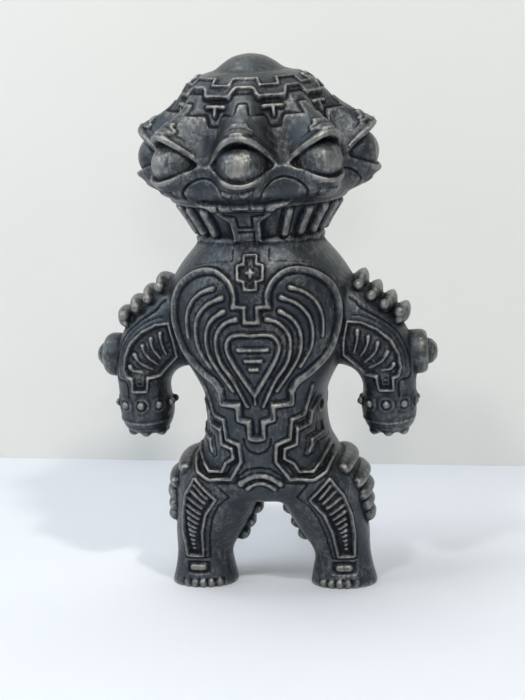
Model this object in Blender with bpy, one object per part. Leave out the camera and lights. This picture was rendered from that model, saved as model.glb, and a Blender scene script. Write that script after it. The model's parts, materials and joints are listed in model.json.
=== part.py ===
"""A cast metal figure in the manner of a Jomon dogu, about 120 mm tall, as one solid casting.

It has a shell-like head with eight eyes round it, a barrel body, two short hooked arms and two stump legs.
Raised ribs run round the limbs and raised line work covers the front.  Sizes are in millimetres and MM turns
them into metres.  +Z is up, the figure faces -Y, and the origin is on the ground between the feet.
"""

from math import cos, pi, radians, sin, tau

import bmesh
import bpy
from mathutils import Vector
from mathutils.bvhtree import BVHTree

MM = 0.001

# Overall sizes
HEIGHT = 120.0
EYES = 8
EYE_LEVEL = 97.6
EYE_ORBIT = 20.7
EYE_RADIUS = 6.1
EYE_HALF_HEIGHT = 4.7

# Head, as radius and height: the dome, the crest over an eye and the trough between two eyes
DOME = [(0.0, HEIGHT), (3.4, 119.4), (6.4, 118.0), (8.7, 116.5)]
CREST = [(10.4, 115.7), (13.2, 114.4), (16.0, 111.6), (18.4, 108.6), (22.4, 106.0), (26.4, 103.6)]
TROUGH = [(10.4, 115.7), (12.6, 114.2), (14.6, 111.4), (16.0, 108.4), (18.0, 103.2), (21.6, 98.0)]
LIP_LOW = (27.2, 93.9)
LIP_HIGH = (22.2, 96.7)
HOOD_LIP = 1.1
SOCKET = 19.8
BOWL_CREST = [(24.3, 90.9), (19.8, 88.8)]
BOWL_TROUGH = [(21.0, 91.6), (19.6, 88.8)]
CONE = [(18.2, 87.4), (16.1, 83.8), (15.7, 82.4), (14.5, 80.4), (13.6, 78.0)]
HEAD_COLUMNS = 48

# Two stepped edges round the head, as heights for an eighth of a turn, starting over an eye
CAP_EDGE = [112.8, 112.8, 111.0, 111.0, 111.0, 112.8]
SHELL_EDGE = [109.8, 108.6, 107.9, 105.0, 107.9, 108.6]
EDGE_DEPTH = 0.8

# Body, as height, half width, front and back
TORSO = [
    (81.0, 13.0, -13.4, 12.0),
    (78.6, 14.4, -14.8, 12.6),
    (74.0, 18.2, -17.0, 12.8),
    (68.0, 21.4, -18.0, 12.6),
    (62.0, 21.4, -18.4, 12.0),
    (56.0, 19.6, -18.2, 11.6),
    (50.5, 16.2, -17.9, 11.4),
    (45.5, 13.8, -17.5, 11.4),
    (40.0, 13.5, -17.2, 11.6),
    (35.5, 14.2, -16.8, 11.8),
    (31.0, 16.4, -15.9, 11.8),
    (26.5, 16.0, -14.8, 11.0),
    (23.2, 11.6, -13.2, 9.0),
    (21.2, 5.6, -10.4, 6.0),
]
TORSO_SIDES = 32

# Leg, as height, middle, half width, front and back
LEG = [
    (0.0, 15.9, 7.0, -5.5, 7.4),
    (1.4, 15.9, 7.4, -5.8, 7.6),
    (4.0, 16.0, 6.9, -5.4, 7.2),
    (7.5, 15.9, 6.4, -5.2, 6.6),
    (13.0, 14.3, 7.9, -8.0, 8.0),
    (16.5, 13.1, 8.6, -9.9, 9.2),
    (20.0, 12.0, 9.4, -11.6, 10.4),
    (24.0, 11.2, 10.2, -13.2, 11.2),
    (28.0, 10.4, 9.6, -13.8, 11.0),
    (31.0, 9.4, 7.2, -12.6, 9.8),
]
LEG_SIDES = 20

# Arm, as inner edge X and Z, outer edge X and Z, middle depth and half depth
ARM = [
    (12.0, 52.5, 12.0, 72.0, -2.4, 8.2),
    (17.0, 51.4, 20.4, 71.0, -2.2, 8.4),
    (19.7, 50.4, 26.8, 65.8, -2.0, 8.0),
    (21.2, 48.8, 31.6, 59.8, -1.8, 7.6),
    (21.9, 46.8, 33.9, 53.0, -1.6, 7.1),
    (21.8, 44.8, 33.7, 46.4, -1.3, 6.7),
    (21.4, 42.0, 33.6, 42.0, -1.0, 6.5),
    (21.6, 39.6, 33.6, 39.6, -0.8, 6.3),
    (22.6, 37.0, 32.6, 37.0, -0.7, 5.3),
    (24.4, 35.6, 30.6, 35.6, -0.6, 3.4),
]
ARM_SIDES = 18

# Round the limbs
ARM_RIBS = [(20.6, 67.0, 23.0, 72.2), (23.4, 64.0, 26.4, 69.6), (26.6, 61.4, 29.7, 67.0), (29.8, 59.4, 32.8, 64.2)]
ARM_RIB_SIZE = 1.6
ARM_RIB_HEIGHT = 1.6
LEG_RIBS = [29.8, 26.9, 24.1, 21.3, 18.5]
LEG_RIB_SIZE = 1.55
DISC_CENTRE = (33.0, -0.4, 53.5)
DISC_TURN = radians(10)
DISC = [(4.8, -2.0), (4.8, 1.6), (4.2, 3.2), (3.0, 2.9), (2.5, 4.3), (0.0, 5.6)]
WRIST_LEVEL = 43.0
WRIST_BEADS = 10
TEETH = 6

# Line work on the front, as X and Z on the viewer's right
HEART = [(3.9, 66.9), (3.7, 69.4), (4.9, 72.2), (7.4, 74.2), (10.4, 74.4), (13.6, 73.2), (16.6, 70.6),
         (18.0, 67.3), (18.3, 63.5), (17.4, 59.6), (15.6, 55.6), (12.0, 52.0), (9.1, 50.0), (7.8, 48.1)]
HEART_DIP = [(3.9, 66.9), (1.5, 66.6), (1.5, 63.5), (0.0, 63.5)]
HEART_STEPS = [(7.8, 48.1), (7.6, 45.2), (3.8, 45.1), (3.7, 42.0), (1.5, 41.4), (1.4, 37.9), (0.0, 37.6)]
STROKES = [
    [(8.6, 70.8), (11.5, 69.6), (13.8, 67.3), (15.0, 64.0), (14.9, 59.7)],
    [(6.6, 68.8), (9.8, 67.3), (12.1, 64.7), (12.9, 61.5), (12.4, 57.4), (10.0, 53.3)],
    [(6.3, 65.8), (8.8, 64.1), (10.2, 61.6), (10.4, 58.2), (9.2, 54.5), (4.9, 48.3)],
    [(3.4, 64.2), (5.9, 63.3), (7.9, 60.8), (8.1, 57.3), (7.0, 53.9), (4.6, 50.5), (1.8, 44.9)],
]
INNER_HEART = [(0.0, 60.6), (2.6, 60.8), (4.7, 60.3), (5.7, 58.6), (5.3, 56.2), (3.3, 52.5), (0.0, 47.4)]
BARS = [(57.4, 3.2), (55.0, 1.7), (53.1, 0.8)]
CROSS = [(0.0, 77.6), (1.3, 77.6), (1.3, 75.9), (2.7, 75.5), (2.7, 72.7), (1.3, 72.3), (1.3, 70.7), (0.0, 70.6)]
SIDE_STEPS = [(10.8, 45.6), (9.9, 42.2), (7.4, 41.5), (6.9, 37.2), (4.1, 36.2), (3.8, 32.4), (6.6, 27.9), (10.6, 27.6)]
HIP_PLATE = [(10.9, 40.2), (8.0, 39.0), (8.0, 35.8), (5.3, 35.1), (5.4, 32.8), (7.5, 31.7), (8.6, 29.5), (11.6, 29.4),
             (13.2, 32.4)]
CROTCH = [(28.4, 26.4, 4.4), (26.6, 25.2, 3.0)]
LEG_PANEL = [(15.1, 27.5), (10.7, 22.8), (13.4, 19.0), (14.9, 14.0), (15.6, 7.4), (19.0, 7.4), (19.4, 13.0), (19.0, 18.0),
             (17.6, 23.4)]
LEG_BARS = 6
FAN = [(19.8, 62.1), (22.6, 61.8), (26.0, 60.1), (28.9, 57.5), (30.6, 54.4), (30.9, 51.4), (29.2, 48.8), (29.2, 46.4),
       (26.1, 46.4), (25.6, 49.5), (23.1, 49.9), (21.2, 52.0), (18.6, 54.6)]
FAN_BARS = [(22.0, 60.2, 21.1, 54.9), (24.3, 58.8, 21.9, 54.2), (26.4, 57.0, 22.9, 52.9), (28.4, 54.8, 24.0, 51.7),
            (29.6, 51.8, 26.8, 50.9)]

TRIANGLES = 10000

METAL = (0.075, 0.082, 0.092, 1.0)


def between(a, b, share):
    return tuple(p + (q - p) * share for p, q in zip(a, b))


def mirrored(path):
    """The path from its far end back to the middle line, then on the other side."""
    half = [(x, z) for x, z in path if x > 0]
    middle = [(x, z) for x, z in path if x <= 0]
    left = [(-x, z) for x, z in half]
    return left, middle, half


def smooth(path, per_step):
    """Points along a smooth curve through the given points, per_step points for each gap."""
    last = len(path) - 1
    result = []
    for i in range(last):
        p, q, r, s = path[max(i - 1, 0)], path[i], path[i + 1], path[min(i + 2, last)]
        for k in range(per_step):
            t = k / per_step
            result.append(
                tuple(
                    0.5 * (2 * b + (c - a) * t + (2 * a - 5 * b + 4 * c - d) * t**2 + (3 * b - a - 3 * c + d) * t**3)
                    for a, b, c, d in zip(p, q, r, s)
                )
            )
    result.append(tuple(path[last]))
    return result


def add_object(shape, name):
    bmesh.ops.recalc_face_normals(shape, faces=shape.faces)
    mesh = bpy.data.meshes.new(name)
    shape.to_mesh(mesh)
    shape.free()
    obj = bpy.data.objects.new(name, mesh)
    bpy.context.scene.collection.objects.link(obj)
    return obj


def skin(rings, name, closed=False):
    """A closed mesh over a run of rings with the same number of points each."""
    shape = bmesh.new()
    loops = [[shape.verts.new(Vector(p) * MM) for p in ring] for ring in rings]
    pairs = list(zip(loops, loops[1:]))
    if closed:
        pairs.append((loops[-1], loops[0]))
    for lower, upper in pairs:
        count = len(lower)
        for i in range(count):
            j = (i + 1) % count
            shape.faces.new((lower[i], lower[j], upper[j], upper[i]))
    if not closed:
        for loop in (loops[0], loops[-1]):
            if (loop[0].co - loop[1].co).length > 0.001 * MM:
                shape.faces.new(loop)
    bmesh.ops.remove_doubles(shape, verts=shape.verts, dist=0.01 * MM)
    return add_object(shape, name)


def oval(centre, across, front, back, sides, squareness):
    """A ring round centre: a rounded oval reaching across, and from front to back as Y distances."""
    ring = []
    for i in range(sides):
        c, s = cos(tau * i / sides), sin(tau * i / sides)
        u = abs(c) ** (2 / squareness) * (1 if c >= 0 else -1)
        v = abs(s) ** (2 / squareness)
        ring.append(Vector(centre) + Vector(across) * u + Vector((0, v * (back if s >= 0 else front), 0)))
    return ring


def torso():
    rings = []
    for z, half, front, back in TORSO:
        rings.append(oval((0, 0, z), (half, 0, 0), front, back, TORSO_SIDES, 2.2))
    return skin(rings, "torso")


def leg(side):
    rings = []
    for z, middle, half, front, back in LEG:
        rings.append(oval((side * middle, 0, z), (half, 0, 0), front, back, LEG_SIDES, 2.3))
    return skin(rings, "leg")


def arm(side):
    rings = []
    for ax, az, bx, bz, y, depth in ARM:
        centre = (side * (ax + bx) / 2, y, (az + bz) / 2)
        across = (side * (bx - ax) / 2, 0, (bz - az) / 2)
        rings.append(oval(centre, across, -depth, depth, ARM_SIDES, 2.1))
    return skin(rings, "arm")


def along(path, share):
    """The point at this share of the way through the list, by straight steps."""
    place = share * (len(path) - 1)
    i = min(int(place), len(path) - 2)
    return between(path[i], path[i + 1], place - i)


def shell_point(w, share):
    return between(along(TROUGH, share), along(CREST, share), w)


def shell_at(w, height):
    """The point of the upper shell at this height."""
    low, high = 0.0, 1.0
    for _ in range(20):
        middle = (low + high) / 2
        if shell_point(w, middle)[1] > height:
            low = middle
        else:
            high = middle
    return shell_point(w, low)


def head_profile(column):
    """Radius and height down one side of the head at this column."""
    angle = tau * column / HEAD_COLUMNS
    w = 0.5 + 0.5 * cos(EYES * angle)
    step = column % len(CAP_EDGE)
    cap = shell_at(w, CAP_EDGE[step])
    edge = shell_at(w, SHELL_EDGE[step])
    rim = shell_point(w, 1.0)
    lip = between(LIP_HIGH, LIP_LOW, w)
    tuck = min(HOOD_LIP, (rim[1] - lip[1]) / 4)
    socket = rim[0] - 0.8 - (rim[0] - 0.8 - SOCKET) * w
    upper = [
        shell_point(w, 0.12),
        cap,
        (cap[0] - EDGE_DEPTH, cap[1] - 0.1),
        (edge[0] - EDGE_DEPTH, edge[1] + 0.1),
        edge,
        shell_point(w, 0.8),
        shell_point(w, 0.93),
        rim,
    ]
    inner = [
        (rim[0] - 0.2, rim[1] - tuck),
        (socket, rim[1] - tuck * 1.3),
        (socket, lip[1] + tuck),
        (lip[0] - 1.0, lip[1] + tuck * 0.3),
    ]
    bowl = [between(t, c, w) for t, c in zip(BOWL_TROUGH, BOWL_CREST)]
    return DOME + upper + inner + [lip] + bowl + CONE


def head():
    angles = [tau * i / HEAD_COLUMNS for i in range(HEAD_COLUMNS)]
    profiles = [head_profile(i) for i in range(HEAD_COLUMNS)]
    rings = []
    for row in range(len(profiles[0])):
        rings.append([(p[row][0] * sin(a), -p[row][0] * cos(a), p[row][1]) for a, p in zip(angles, profiles)])
    return skin(rings, "head")


def ball(centre, radius, name, around=5, down=4, flatten=1.0):
    shape = bmesh.new()
    bmesh.ops.create_uvsphere(shape, u_segments=around, v_segments=down, radius=radius * MM)
    bmesh.ops.scale(shape, verts=shape.verts, vec=(1, 1, flatten))
    bmesh.ops.translate(shape, verts=shape.verts, vec=Vector(centre) * MM)
    return add_object(shape, name)


def eyes():
    made = []
    for i in range(EYES):
        a = tau * i / EYES
        place = (EYE_ORBIT * sin(a), -EYE_ORBIT * cos(a), EYE_LEVEL)
        made.append(ball(place, EYE_RADIUS, "eye", 12, 8, EYE_HALF_HEIGHT / EYE_RADIUS))
    return made


def tube(path, sizes, name, sides, lead, wide=1.0, tall=1.0):
    """An oval bar along the path with a size at each point, closed at both ends.

    It is tall towards the lead direction and wide across it.
    """
    rings = []
    points = [Vector(p) for p in path]
    for i, point in enumerate(points):
        ahead = (points[min(i + 1, len(points) - 1)] - points[max(i - 1, 0)]).normalized()
        side = ahead.cross(lead).normalized()
        up = side.cross(ahead)
        ring = []
        for k in range(sides):
            a = tau * k / sides
            ring.append(point + side * (cos(a) * sizes[i] * wide) + up * (sin(a) * sizes[i] * tall))
        rings.append(ring)
    return skin(rings, name)


def arm_rib(side, rib):
    """A rib over the outside of the arm, from a bead on the front round to the back."""
    low = Vector((rib[0], 0, rib[1]))
    out = Vector((rib[2], 0, rib[3])) - low
    lead = Vector((side * out.x, 0, out.z))
    out -= out.normalized() * (ARM_RIB_SIZE * ARM_RIB_HEIGHT)
    path = []
    sizes = []
    for degrees in (-88, -50, 0, 50, 88):
        a = radians(degrees)
        p = low + out * cos(a) + Vector((0, -0.8 + 7.8 * sin(a), 0))
        path.append((side * p.x, p.y, p.z))
        sizes.append(ARM_RIB_SIZE * (0.75 + 0.25 * cos(a)))
    return tube(path, sizes, "arm_rib", 6, lead, tall=ARM_RIB_HEIGHT)


def leg_rib(side, level):
    """A rib round the outside and the back of the leg, highest at the side."""
    path = []
    sizes = []
    steps = 7
    for k in range(steps + 1):
        a = radians(-38 + 190 * k / steps)
        share = k / steps
        z = level - 3.0 * (1 - min(1, share * 4)) - 6.0 * max(0, share - 0.35)
        middle, half, front, back = leg_size(z)
        reach = 0.4
        x = middle + (half + reach) * cos(a)
        y = (back + reach) * sin(a) if a >= 0 else (reach - front) * sin(a)
        path.append((side * x, y, z))
        sizes.append(LEG_RIB_SIZE * (0.6 + 0.4 * sin(pi * min(1, max(0.15, share)))))
    return tube(path, sizes, "leg_rib", 5, Vector((0, 0, 1)), wide=1.3)


def leg_size(z):
    """Middle, half width, front and back of the leg at this height."""
    for lower, upper in zip(LEG, LEG[1:]):
        if lower[0] <= z <= upper[0]:
            return between(lower, upper, (z - lower[0]) / (upper[0] - lower[0]))[1:]
    return LEG[-1][1:]


def disc(side):
    """A round boss on the elbow, facing outwards and a little back."""
    sides = 14
    rings = []
    axis = Vector((cos(DISC_TURN), sin(DISC_TURN), 0))
    flat = Vector((-sin(DISC_TURN), cos(DISC_TURN), 0))
    for radius, out in DISC:
        ring = []
        for k in range(sides):
            a = tau * k / sides
            p = Vector(DISC_CENTRE) + axis * out + flat * (radius * cos(a)) + Vector((0, 0, radius * sin(a)))
            ring.append((side * p.x, p.y, p.z))
        rings.append(ring)
    return skin(rings, "disc")


def wrist_and_hand(side):
    made = []
    for i in range(WRIST_BEADS):
        a = tau * (i + 0.5) / WRIST_BEADS
        place = (side * (27.5 + 6.3 * cos(a)), -1.05 + 6.6 * sin(a), WRIST_LEVEL)
        made.append(ball(place, 1.0, "bead"))
    for i in range(TEETH):
        a = tau * (i + 0.5) / TEETH
        place = (side * (27.5 + 3.7 * cos(a)), -0.6 + 3.6 * sin(a), 36.3)
        made.append(ball(place, 1.25, "tooth"))
    return made


def toes(side):
    made = []
    for i in range(5):
        share = i / 4 - 0.5
        place = (side * (15.7 + 8.0 * share), -5.2 + 3.0 * share * share, 1.25)
        made.append(ball(place, 1.2, "toe"))
    return made


def surface(objects):
    """The search tree of the base forms, in millimetres."""
    points = []
    faces = []
    for obj in objects:
        start = len(points)
        points.extend(v.co / MM for v in obj.data.vertices)
        faces.extend([start + i for i in f.vertices] for f in obj.data.polygons)
    return BVHTree.FromPolygons(points, faces)


def front_points(tree, path, side=1):
    """Where the flat drawing lands on the front of the figure, with the way out of the surface there."""
    result = []
    for x, z in path:
        place, normal, _, _ = tree.ray_cast(Vector((side * x, -60, z)), Vector((0, 1, 0)))
        if normal.y > 0:
            normal = -normal
        result.append((place, normal))
    return result


def ridge(points, half, rise, name, closed=False, flat=0.0):
    """A raised line laid on the surface, mitred at its corners; flat is the half width of its top."""
    count = len(points)
    rings = []
    for i, (place, normal) in enumerate(points):
        before = points[(i - 1) % count][0] if closed or i > 0 else place
        after = points[(i + 1) % count][0] if closed or i < count - 1 else place
        first = (place - before).normalized() if i > 0 or closed else (after - place).normalized()
        second = (after - place).normalized() if i < count - 1 or closed else first
        ahead = (first + second).normalized()
        mitre = min(1.6, 1 / max(0.3, ahead.dot(second)))
        side = ahead.cross(normal).normalized() * mitre
        up = normal.normalized()
        ring = [place - side * half - up * 0.5]
        if flat > 0:
            ring.append(place - side * flat + up * rise)
            ring.append(place + side * flat + up * rise)
        else:
            ring.append(place + up * rise)
        ring.append(place + side * half - up * 0.5)
        rings.append(ring)
    return skin(rings, name, closed)


def line_work(tree):
    """The raised drawing on the front, both sides."""
    made = []
    left, _, right = mirrored(HEART_STEPS)
    made.append(ridge(front_points(tree, left + [(0, 37.6)] + right[::-1]), 0.95, 0.8, "steps", flat=0.4))
    dip_left = [(-x, z) for x, z in HEART_DIP[:-1]]
    made.append(ridge(front_points(tree, dip_left + HEART_DIP[:-1][::-1]), 0.9, 0.8, "dip", flat=0.35))
    inner = smooth(INNER_HEART, 2)
    inner_loop = inner + [(-x, z) for x, z in inner[-2:0:-1]]
    made.append(ridge(front_points(tree, inner_loop), 0.7, 0.8, "inner_heart", closed=True))
    cross_loop = CROSS + [(-x, z) for x, z in CROSS[-2:0:-1]]
    made.append(ridge(front_points(tree, cross_loop), 0.65, 0.8, "cross", closed=True))
    for level, half in BARS:
        made.append(ridge(front_points(tree, [(-half, level), (0, level), (half, level)]), 0.65, 0.7, "bar"))
    for top, end, half in CROTCH:
        arc = [(half * k / 3, top - (top - end) * (k / 3) ** 2) for k in range(-3, 4)]
        made.append(ridge(front_points(tree, arc), 0.8, 0.8, "crotch"))
    for side in (1, -1):
        made.append(ridge(front_points(tree, HEART + [], side), 1.0, 0.9, "heart", flat=0.45))
        for stroke in STROKES:
            made.append(ridge(front_points(tree, smooth(stroke, 2), side), 0.7, 0.8, "stroke"))
        made.append(ridge(front_points(tree, SIDE_STEPS, side), 0.75, 0.7, "side_steps"))
        made.append(ridge(front_points(tree, HIP_PLATE, side), 0.75, 0.7, "hip_plate"))
        made.append(ridge(front_points(tree, LEG_PANEL, side), 0.7, 0.7, "leg_panel", closed=True))
        made.append(ridge(front_points(tree, FAN, side), 0.7, 0.7, "fan", closed=True))
        for ax, az, bx, bz in FAN_BARS:
            made.append(ridge(front_points(tree, [(ax, az), (bx, bz)], side), 0.75, 0.7, "fan_bar"))
        for k in range(LEG_BARS):
            share = (k + 0.5) / LEG_BARS
            z = 24.6 - 15.0 * share
            inner_x = 13.0 + 3.3 * share
            outer_x = 16.6 + 1.4 * share
            bar = [(inner_x, z - 0.5), (outer_x, z + 0.5)]
            made.append(ridge(front_points(tree, bar, side), 0.6, 0.6, "leg_bar"))
    return made


def head_points(tree, path):
    """Where a drawing of turns from the front and heights lands on the head."""
    result = []
    for degrees, z in path:
        a = radians(degrees)
        out = Vector((sin(a), -cos(a), 0))
        place, normal, _, _ = tree.ray_cast(out * 60 + Vector((0, 0, z)), -out)
        if normal.dot(out) < 0:
            normal = -normal
        result.append((place, normal))
    return result


def head_work(tree):
    """The raised marks on the head: a T in each notch, a ring line above, and bars on the neck."""
    made = []
    for k in range(EYES):
        middle = 22.5 + 45 * k
        made.append(ridge(head_points(tree, [(middle - 5.5, 109.4), (middle + 5.5, 109.4)]), 0.7, 1.1, "tee_bar"))
        made.append(ridge(head_points(tree, [(middle, 109.2), (middle, 107), (middle, 105.4)]), 0.7, 1.1, "tee_stem"))
    ring = []
    for k in range(EYES):
        middle = 45 * k
        ring.extend([(middle - 10, 114.9), (middle + 10, 114.9), (middle + 15, 113.4), (middle + 30, 113.4)])
    made.append(ridge(head_points(tree, ring), 0.6, 0.5, "ring_line", closed=True))
    for k in range(-10, 11):
        degrees = 180 + 15 * k
        made.append(ridge(head_points(tree, [(degrees, 87.2), (degrees, 84.4), (degrees, 81.8)]), 0.9, 0.6, "neck_bar"))
    return made


def clear():
    for obj in list(bpy.data.objects):
        bpy.data.objects.remove(obj)


def weld(base, others):
    """One solid from all the pieces."""
    group = bpy.data.collections.new("joined")
    for obj in others:
        group.objects.link(obj)
    union = base.modifiers.new("union", "BOOLEAN")
    union.operation = "UNION"
    union.operand_type = "COLLECTION"
    union.collection = group
    union.solver = "EXACT"
    union.use_self = True
    view = bpy.context.evaluated_depsgraph_get()
    mesh = bpy.data.meshes.new_from_object(base.evaluated_get(view))
    base.modifiers.clear()
    base.data = mesh
    for obj in others:
        bpy.data.objects.remove(obj)
    bpy.data.collections.remove(group)


def keep_largest(shape):
    """Drop loose crumbs and keep the body with the most faces."""
    waiting = set(shape.faces)
    bodies = []
    while waiting:
        stack = [waiting.pop()]
        body = []
        while stack:
            face = stack.pop()
            body.append(face)
            for edge in face.edges:
                for other in edge.link_faces:
                    if other in waiting:
                        waiting.remove(other)
                        stack.append(other)
        bodies.append(body)
    bodies.sort(key=len)
    loose = {v for body in bodies[:-1] for face in body for v in face.verts}
    bmesh.ops.delete(shape, geom=list(loose), context="VERTS")


def finish(obj):
    shape = bmesh.new()
    shape.from_mesh(obj.data)
    bmesh.ops.remove_doubles(shape, verts=shape.verts, dist=0.004 * MM)
    bmesh.ops.triangulate(shape, faces=shape.faces)
    keep_largest(shape)
    count = len(shape.faces)
    shape.to_mesh(obj.data)
    shape.free()
    fewer = obj.modifiers.new("fewer", "DECIMATE")
    fewer.ratio = min(1.0, TRIANGLES / count)
    view = bpy.context.evaluated_depsgraph_get()
    mesh = bpy.data.meshes.new_from_object(obj.evaluated_get(view))
    obj.modifiers.clear()
    obj.data = mesh
    shape = bmesh.new()
    shape.from_mesh(obj.data)
    bmesh.ops.recalc_face_normals(shape, faces=shape.faces)
    for face in shape.faces:
        face.smooth = True
    shape.to_mesh(obj.data)
    shape.free()
    obj.name = "dogu_figure"
    obj.data.name = "dogu_figure"
    metal = bpy.data.materials.new("dark_cast_metal")
    metal.use_nodes = True
    shader = metal.node_tree.nodes["Principled BSDF"]
    shader.inputs["Base Color"].default_value = METAL
    shader.inputs["Metallic"].default_value = 0.85
    shader.inputs["Roughness"].default_value = 0.45
    obj.data.materials.clear()
    obj.data.materials.append(metal)


def main():
    clear()
    body = torso()
    forms = [head()] + [make(side) for make in (arm, leg) for side in (1, -1)]
    tree = surface([body] + forms)
    pieces = forms + eyes()
    for side in (1, -1):
        pieces.extend(arm_rib(side, rib) for rib in ARM_RIBS)
        pieces.extend(leg_rib(side, level) for level in LEG_RIBS)
        pieces.append(disc(side))
        pieces.extend(wrist_and_hand(side))
        pieces.extend(toes(side))
    pieces.extend(line_work(tree))
    pieces.extend(head_work(tree))
    weld(body, pieces)
    finish(body)


if __name__ == "__main__":
    main()
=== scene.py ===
"""Cast metal dogu figure: the finished casting, its metal and a small studio for it.

The file is laid out as an add-on.  Sizes in the tables are in millimetres and MM turns them into metres.
+Z is up, the figure faces -Y and the origin is on the ground between the feet.
"""

import json
from math import cos, hypot, pi, radians, sin, tau

import bmesh
import bpy
import numpy as np
from mathutils import Matrix, Vector
from mathutils.bvhtree import BVHTree
from mathutils.kdtree import KDTree

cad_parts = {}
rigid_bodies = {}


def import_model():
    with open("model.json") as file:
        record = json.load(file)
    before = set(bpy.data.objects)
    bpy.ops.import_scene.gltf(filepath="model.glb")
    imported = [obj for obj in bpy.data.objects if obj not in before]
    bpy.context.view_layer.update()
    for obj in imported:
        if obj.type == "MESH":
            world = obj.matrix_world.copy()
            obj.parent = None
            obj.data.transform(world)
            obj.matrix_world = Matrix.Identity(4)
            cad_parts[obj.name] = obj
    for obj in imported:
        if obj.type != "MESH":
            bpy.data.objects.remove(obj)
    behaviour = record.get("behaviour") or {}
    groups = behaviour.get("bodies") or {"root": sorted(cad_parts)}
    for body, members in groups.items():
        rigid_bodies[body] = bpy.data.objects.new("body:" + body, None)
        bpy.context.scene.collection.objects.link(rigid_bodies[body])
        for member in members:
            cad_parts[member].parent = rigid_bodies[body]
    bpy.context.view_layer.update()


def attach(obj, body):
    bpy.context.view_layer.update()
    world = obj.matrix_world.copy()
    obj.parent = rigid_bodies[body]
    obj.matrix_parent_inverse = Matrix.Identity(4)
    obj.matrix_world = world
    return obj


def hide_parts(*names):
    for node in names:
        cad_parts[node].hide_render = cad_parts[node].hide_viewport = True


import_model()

bl_info = {
    "name": "Dogu figure",
    "version": (1, 0, 0),
    "blender": (4, 5, 0),
    "location": "View3D > Sidebar > Dogu",
    "description": "A cast metal figure with eight eyes, raised line work and a rubbed dark finish",
    "category": "Add Mesh",
}

MM = 0.001
SIDES = (1, -1)

# Head, as radius and height: the dome, the crest over an eye and the trough between two eyes
HEIGHT = 120.0
EYES = 8
EYE_STEP = 360.0 / EYES
LID_DEGREES = [1.7 * k for k in range(11)]
DOME = [(0.0, HEIGHT), (3.3, 119.4), (5.8, 118.0), (7.7, 116.6)]
NOD = radians(2.2)
NOD_LEVEL = 97.6
CREST = [(9.7, 116.0), (12.8, 114.8), (16.0, 112.3), (18.6, 109.4), (22.4, 106.9), (26.3, 104.3)]
TROUGH = [(9.7, 116.0), (12.4, 114.6), (14.8, 112.0), (16.2, 108.9), (18.2, 103.4), (21.8, 97.9)]
LIP_LOW = (27.2, 94.7)
LIP_HIGH = (22.2, 97.8)
HOOD_LIP = 0.78
SOCKET = 19.8
BOWL_CREST = [(24.6, 91.6), (20.0, 89.5)]
BOWL_TROUGH = [(21.6, 92.3), (19.9, 89.5)]
CONE = [(19.3, 88.4), (18.4, 87.0), (16.3, 83.8), (15.4, 82.2), (14.5, 80.4), (13.6, 78.0)]
LEAN = (108.0, 9.0, 0.9)

# Body, as height, half width, front and back
TORSO = [
    (81.0, 13.0, -13.4, 12.0),
    (78.6, 14.4, -14.8, 12.6),
    (74.0, 18.2, -17.0, 12.8),
    (68.0, 21.4, -18.0, 12.6),
    (62.0, 21.4, -18.4, 12.0),
    (56.0, 19.6, -18.2, 11.6),
    (50.5, 16.2, -17.9, 11.4),
    (45.5, 13.8, -17.5, 11.4),
    (40.0, 13.5, -17.2, 11.6),
    (35.5, 14.2, -16.8, 11.8),
    (31.0, 16.4, -15.9, 11.8),
    (26.5, 16.0, -14.8, 11.0),
    (23.2, 11.6, -13.2, 9.0),
    (21.2, 5.6, -10.4, 6.0),
]

# Leg, as height, middle, half width, front and back
LEG = [
    (0.0, 16.1, 7.55, -6.3, 8.0),
    (0.9, 16.1, 7.5, -6.2, 8.0),
    (3.6, 16.0, 6.9, -5.5, 7.3),
    (7.5, 15.9, 6.4, -5.2, 6.6),
    (13.0, 14.3, 7.9, -8.0, 8.0),
    (16.5, 13.1, 8.6, -9.9, 9.2),
    (20.0, 12.0, 9.4, -11.6, 10.4),
    (24.0, 11.2, 10.2, -13.2, 11.2),
    (28.0, 10.4, 9.6, -13.8, 11.0),
    (31.0, 9.4, 7.2, -12.6, 9.8),
]

# Arm, as inner edge X and Z, outer edge X and Z, middle depth and half depth
ARM = [
    (12.0, 52.5, 12.0, 72.0, -2.4, 8.2),
    (17.0, 51.4, 20.4, 71.0, -2.2, 8.4),
    (19.7, 50.4, 26.8, 65.8, -2.0, 8.0),
    (21.2, 48.8, 31.6, 59.8, -1.8, 7.6),
    (21.9, 46.8, 33.9, 53.0, -1.6, 7.1),
    (21.8, 44.8, 33.7, 46.4, -1.3, 6.7),
    (21.4, 42.0, 33.6, 42.0, -1.0, 6.5),
    (21.6, 39.6, 33.6, 39.6, -0.8, 6.3),
    (22.6, 37.0, 32.6, 37.0, -0.7, 5.3),
    (24.4, 35.6, 30.6, 35.6, -0.6, 3.4),
]

# Round the limbs
ARM_RIBS = [
    (20.6, 67.0, 23.0, 72.2), (23.3, 64.0, 26.1, 69.6), (26.4, 61.5, 29.2, 67.3), (29.4, 59.7, 32.2, 64.7),
]
ARM_RIB_TURNS = (-48, -31, -14, 5, 26, 50, 76)
RIB_BEADS = [(22.1, -7.3, 69.8), (24.8, -7.5, 67.3), (27.6, -7.1, 65.3), (30.7, -6.0, 63.3)]
RIB_BEAD_RADIUS = 1.15
LEG_RIBS = [(-44, 28.4, 29.7), (-33, 24.6, 26.1), (-26, 21.2, 22.8), (-20, 18.3, 19.5), (-14, 15.4, 16.7)]
DISC_CENTRE = (33.0, -0.4, 53.5)
DISC_TURN = radians(10)
DISC = [
    (4.8, -2.0), (4.95, 1.2), (4.9, 2.2), (4.4, 3.1), (3.5, 3.0), (3.0, 2.7), (2.95, 3.4), (2.6, 4.4),
    (1.6, 5.35), (0.0, 5.65),
]
WRIST = (27.5, -1.05, 43.0)
WRIST_BEADS = 10
TEETH = 6
TOES = 5
FOOT_MIDDLE = 15.7

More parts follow.
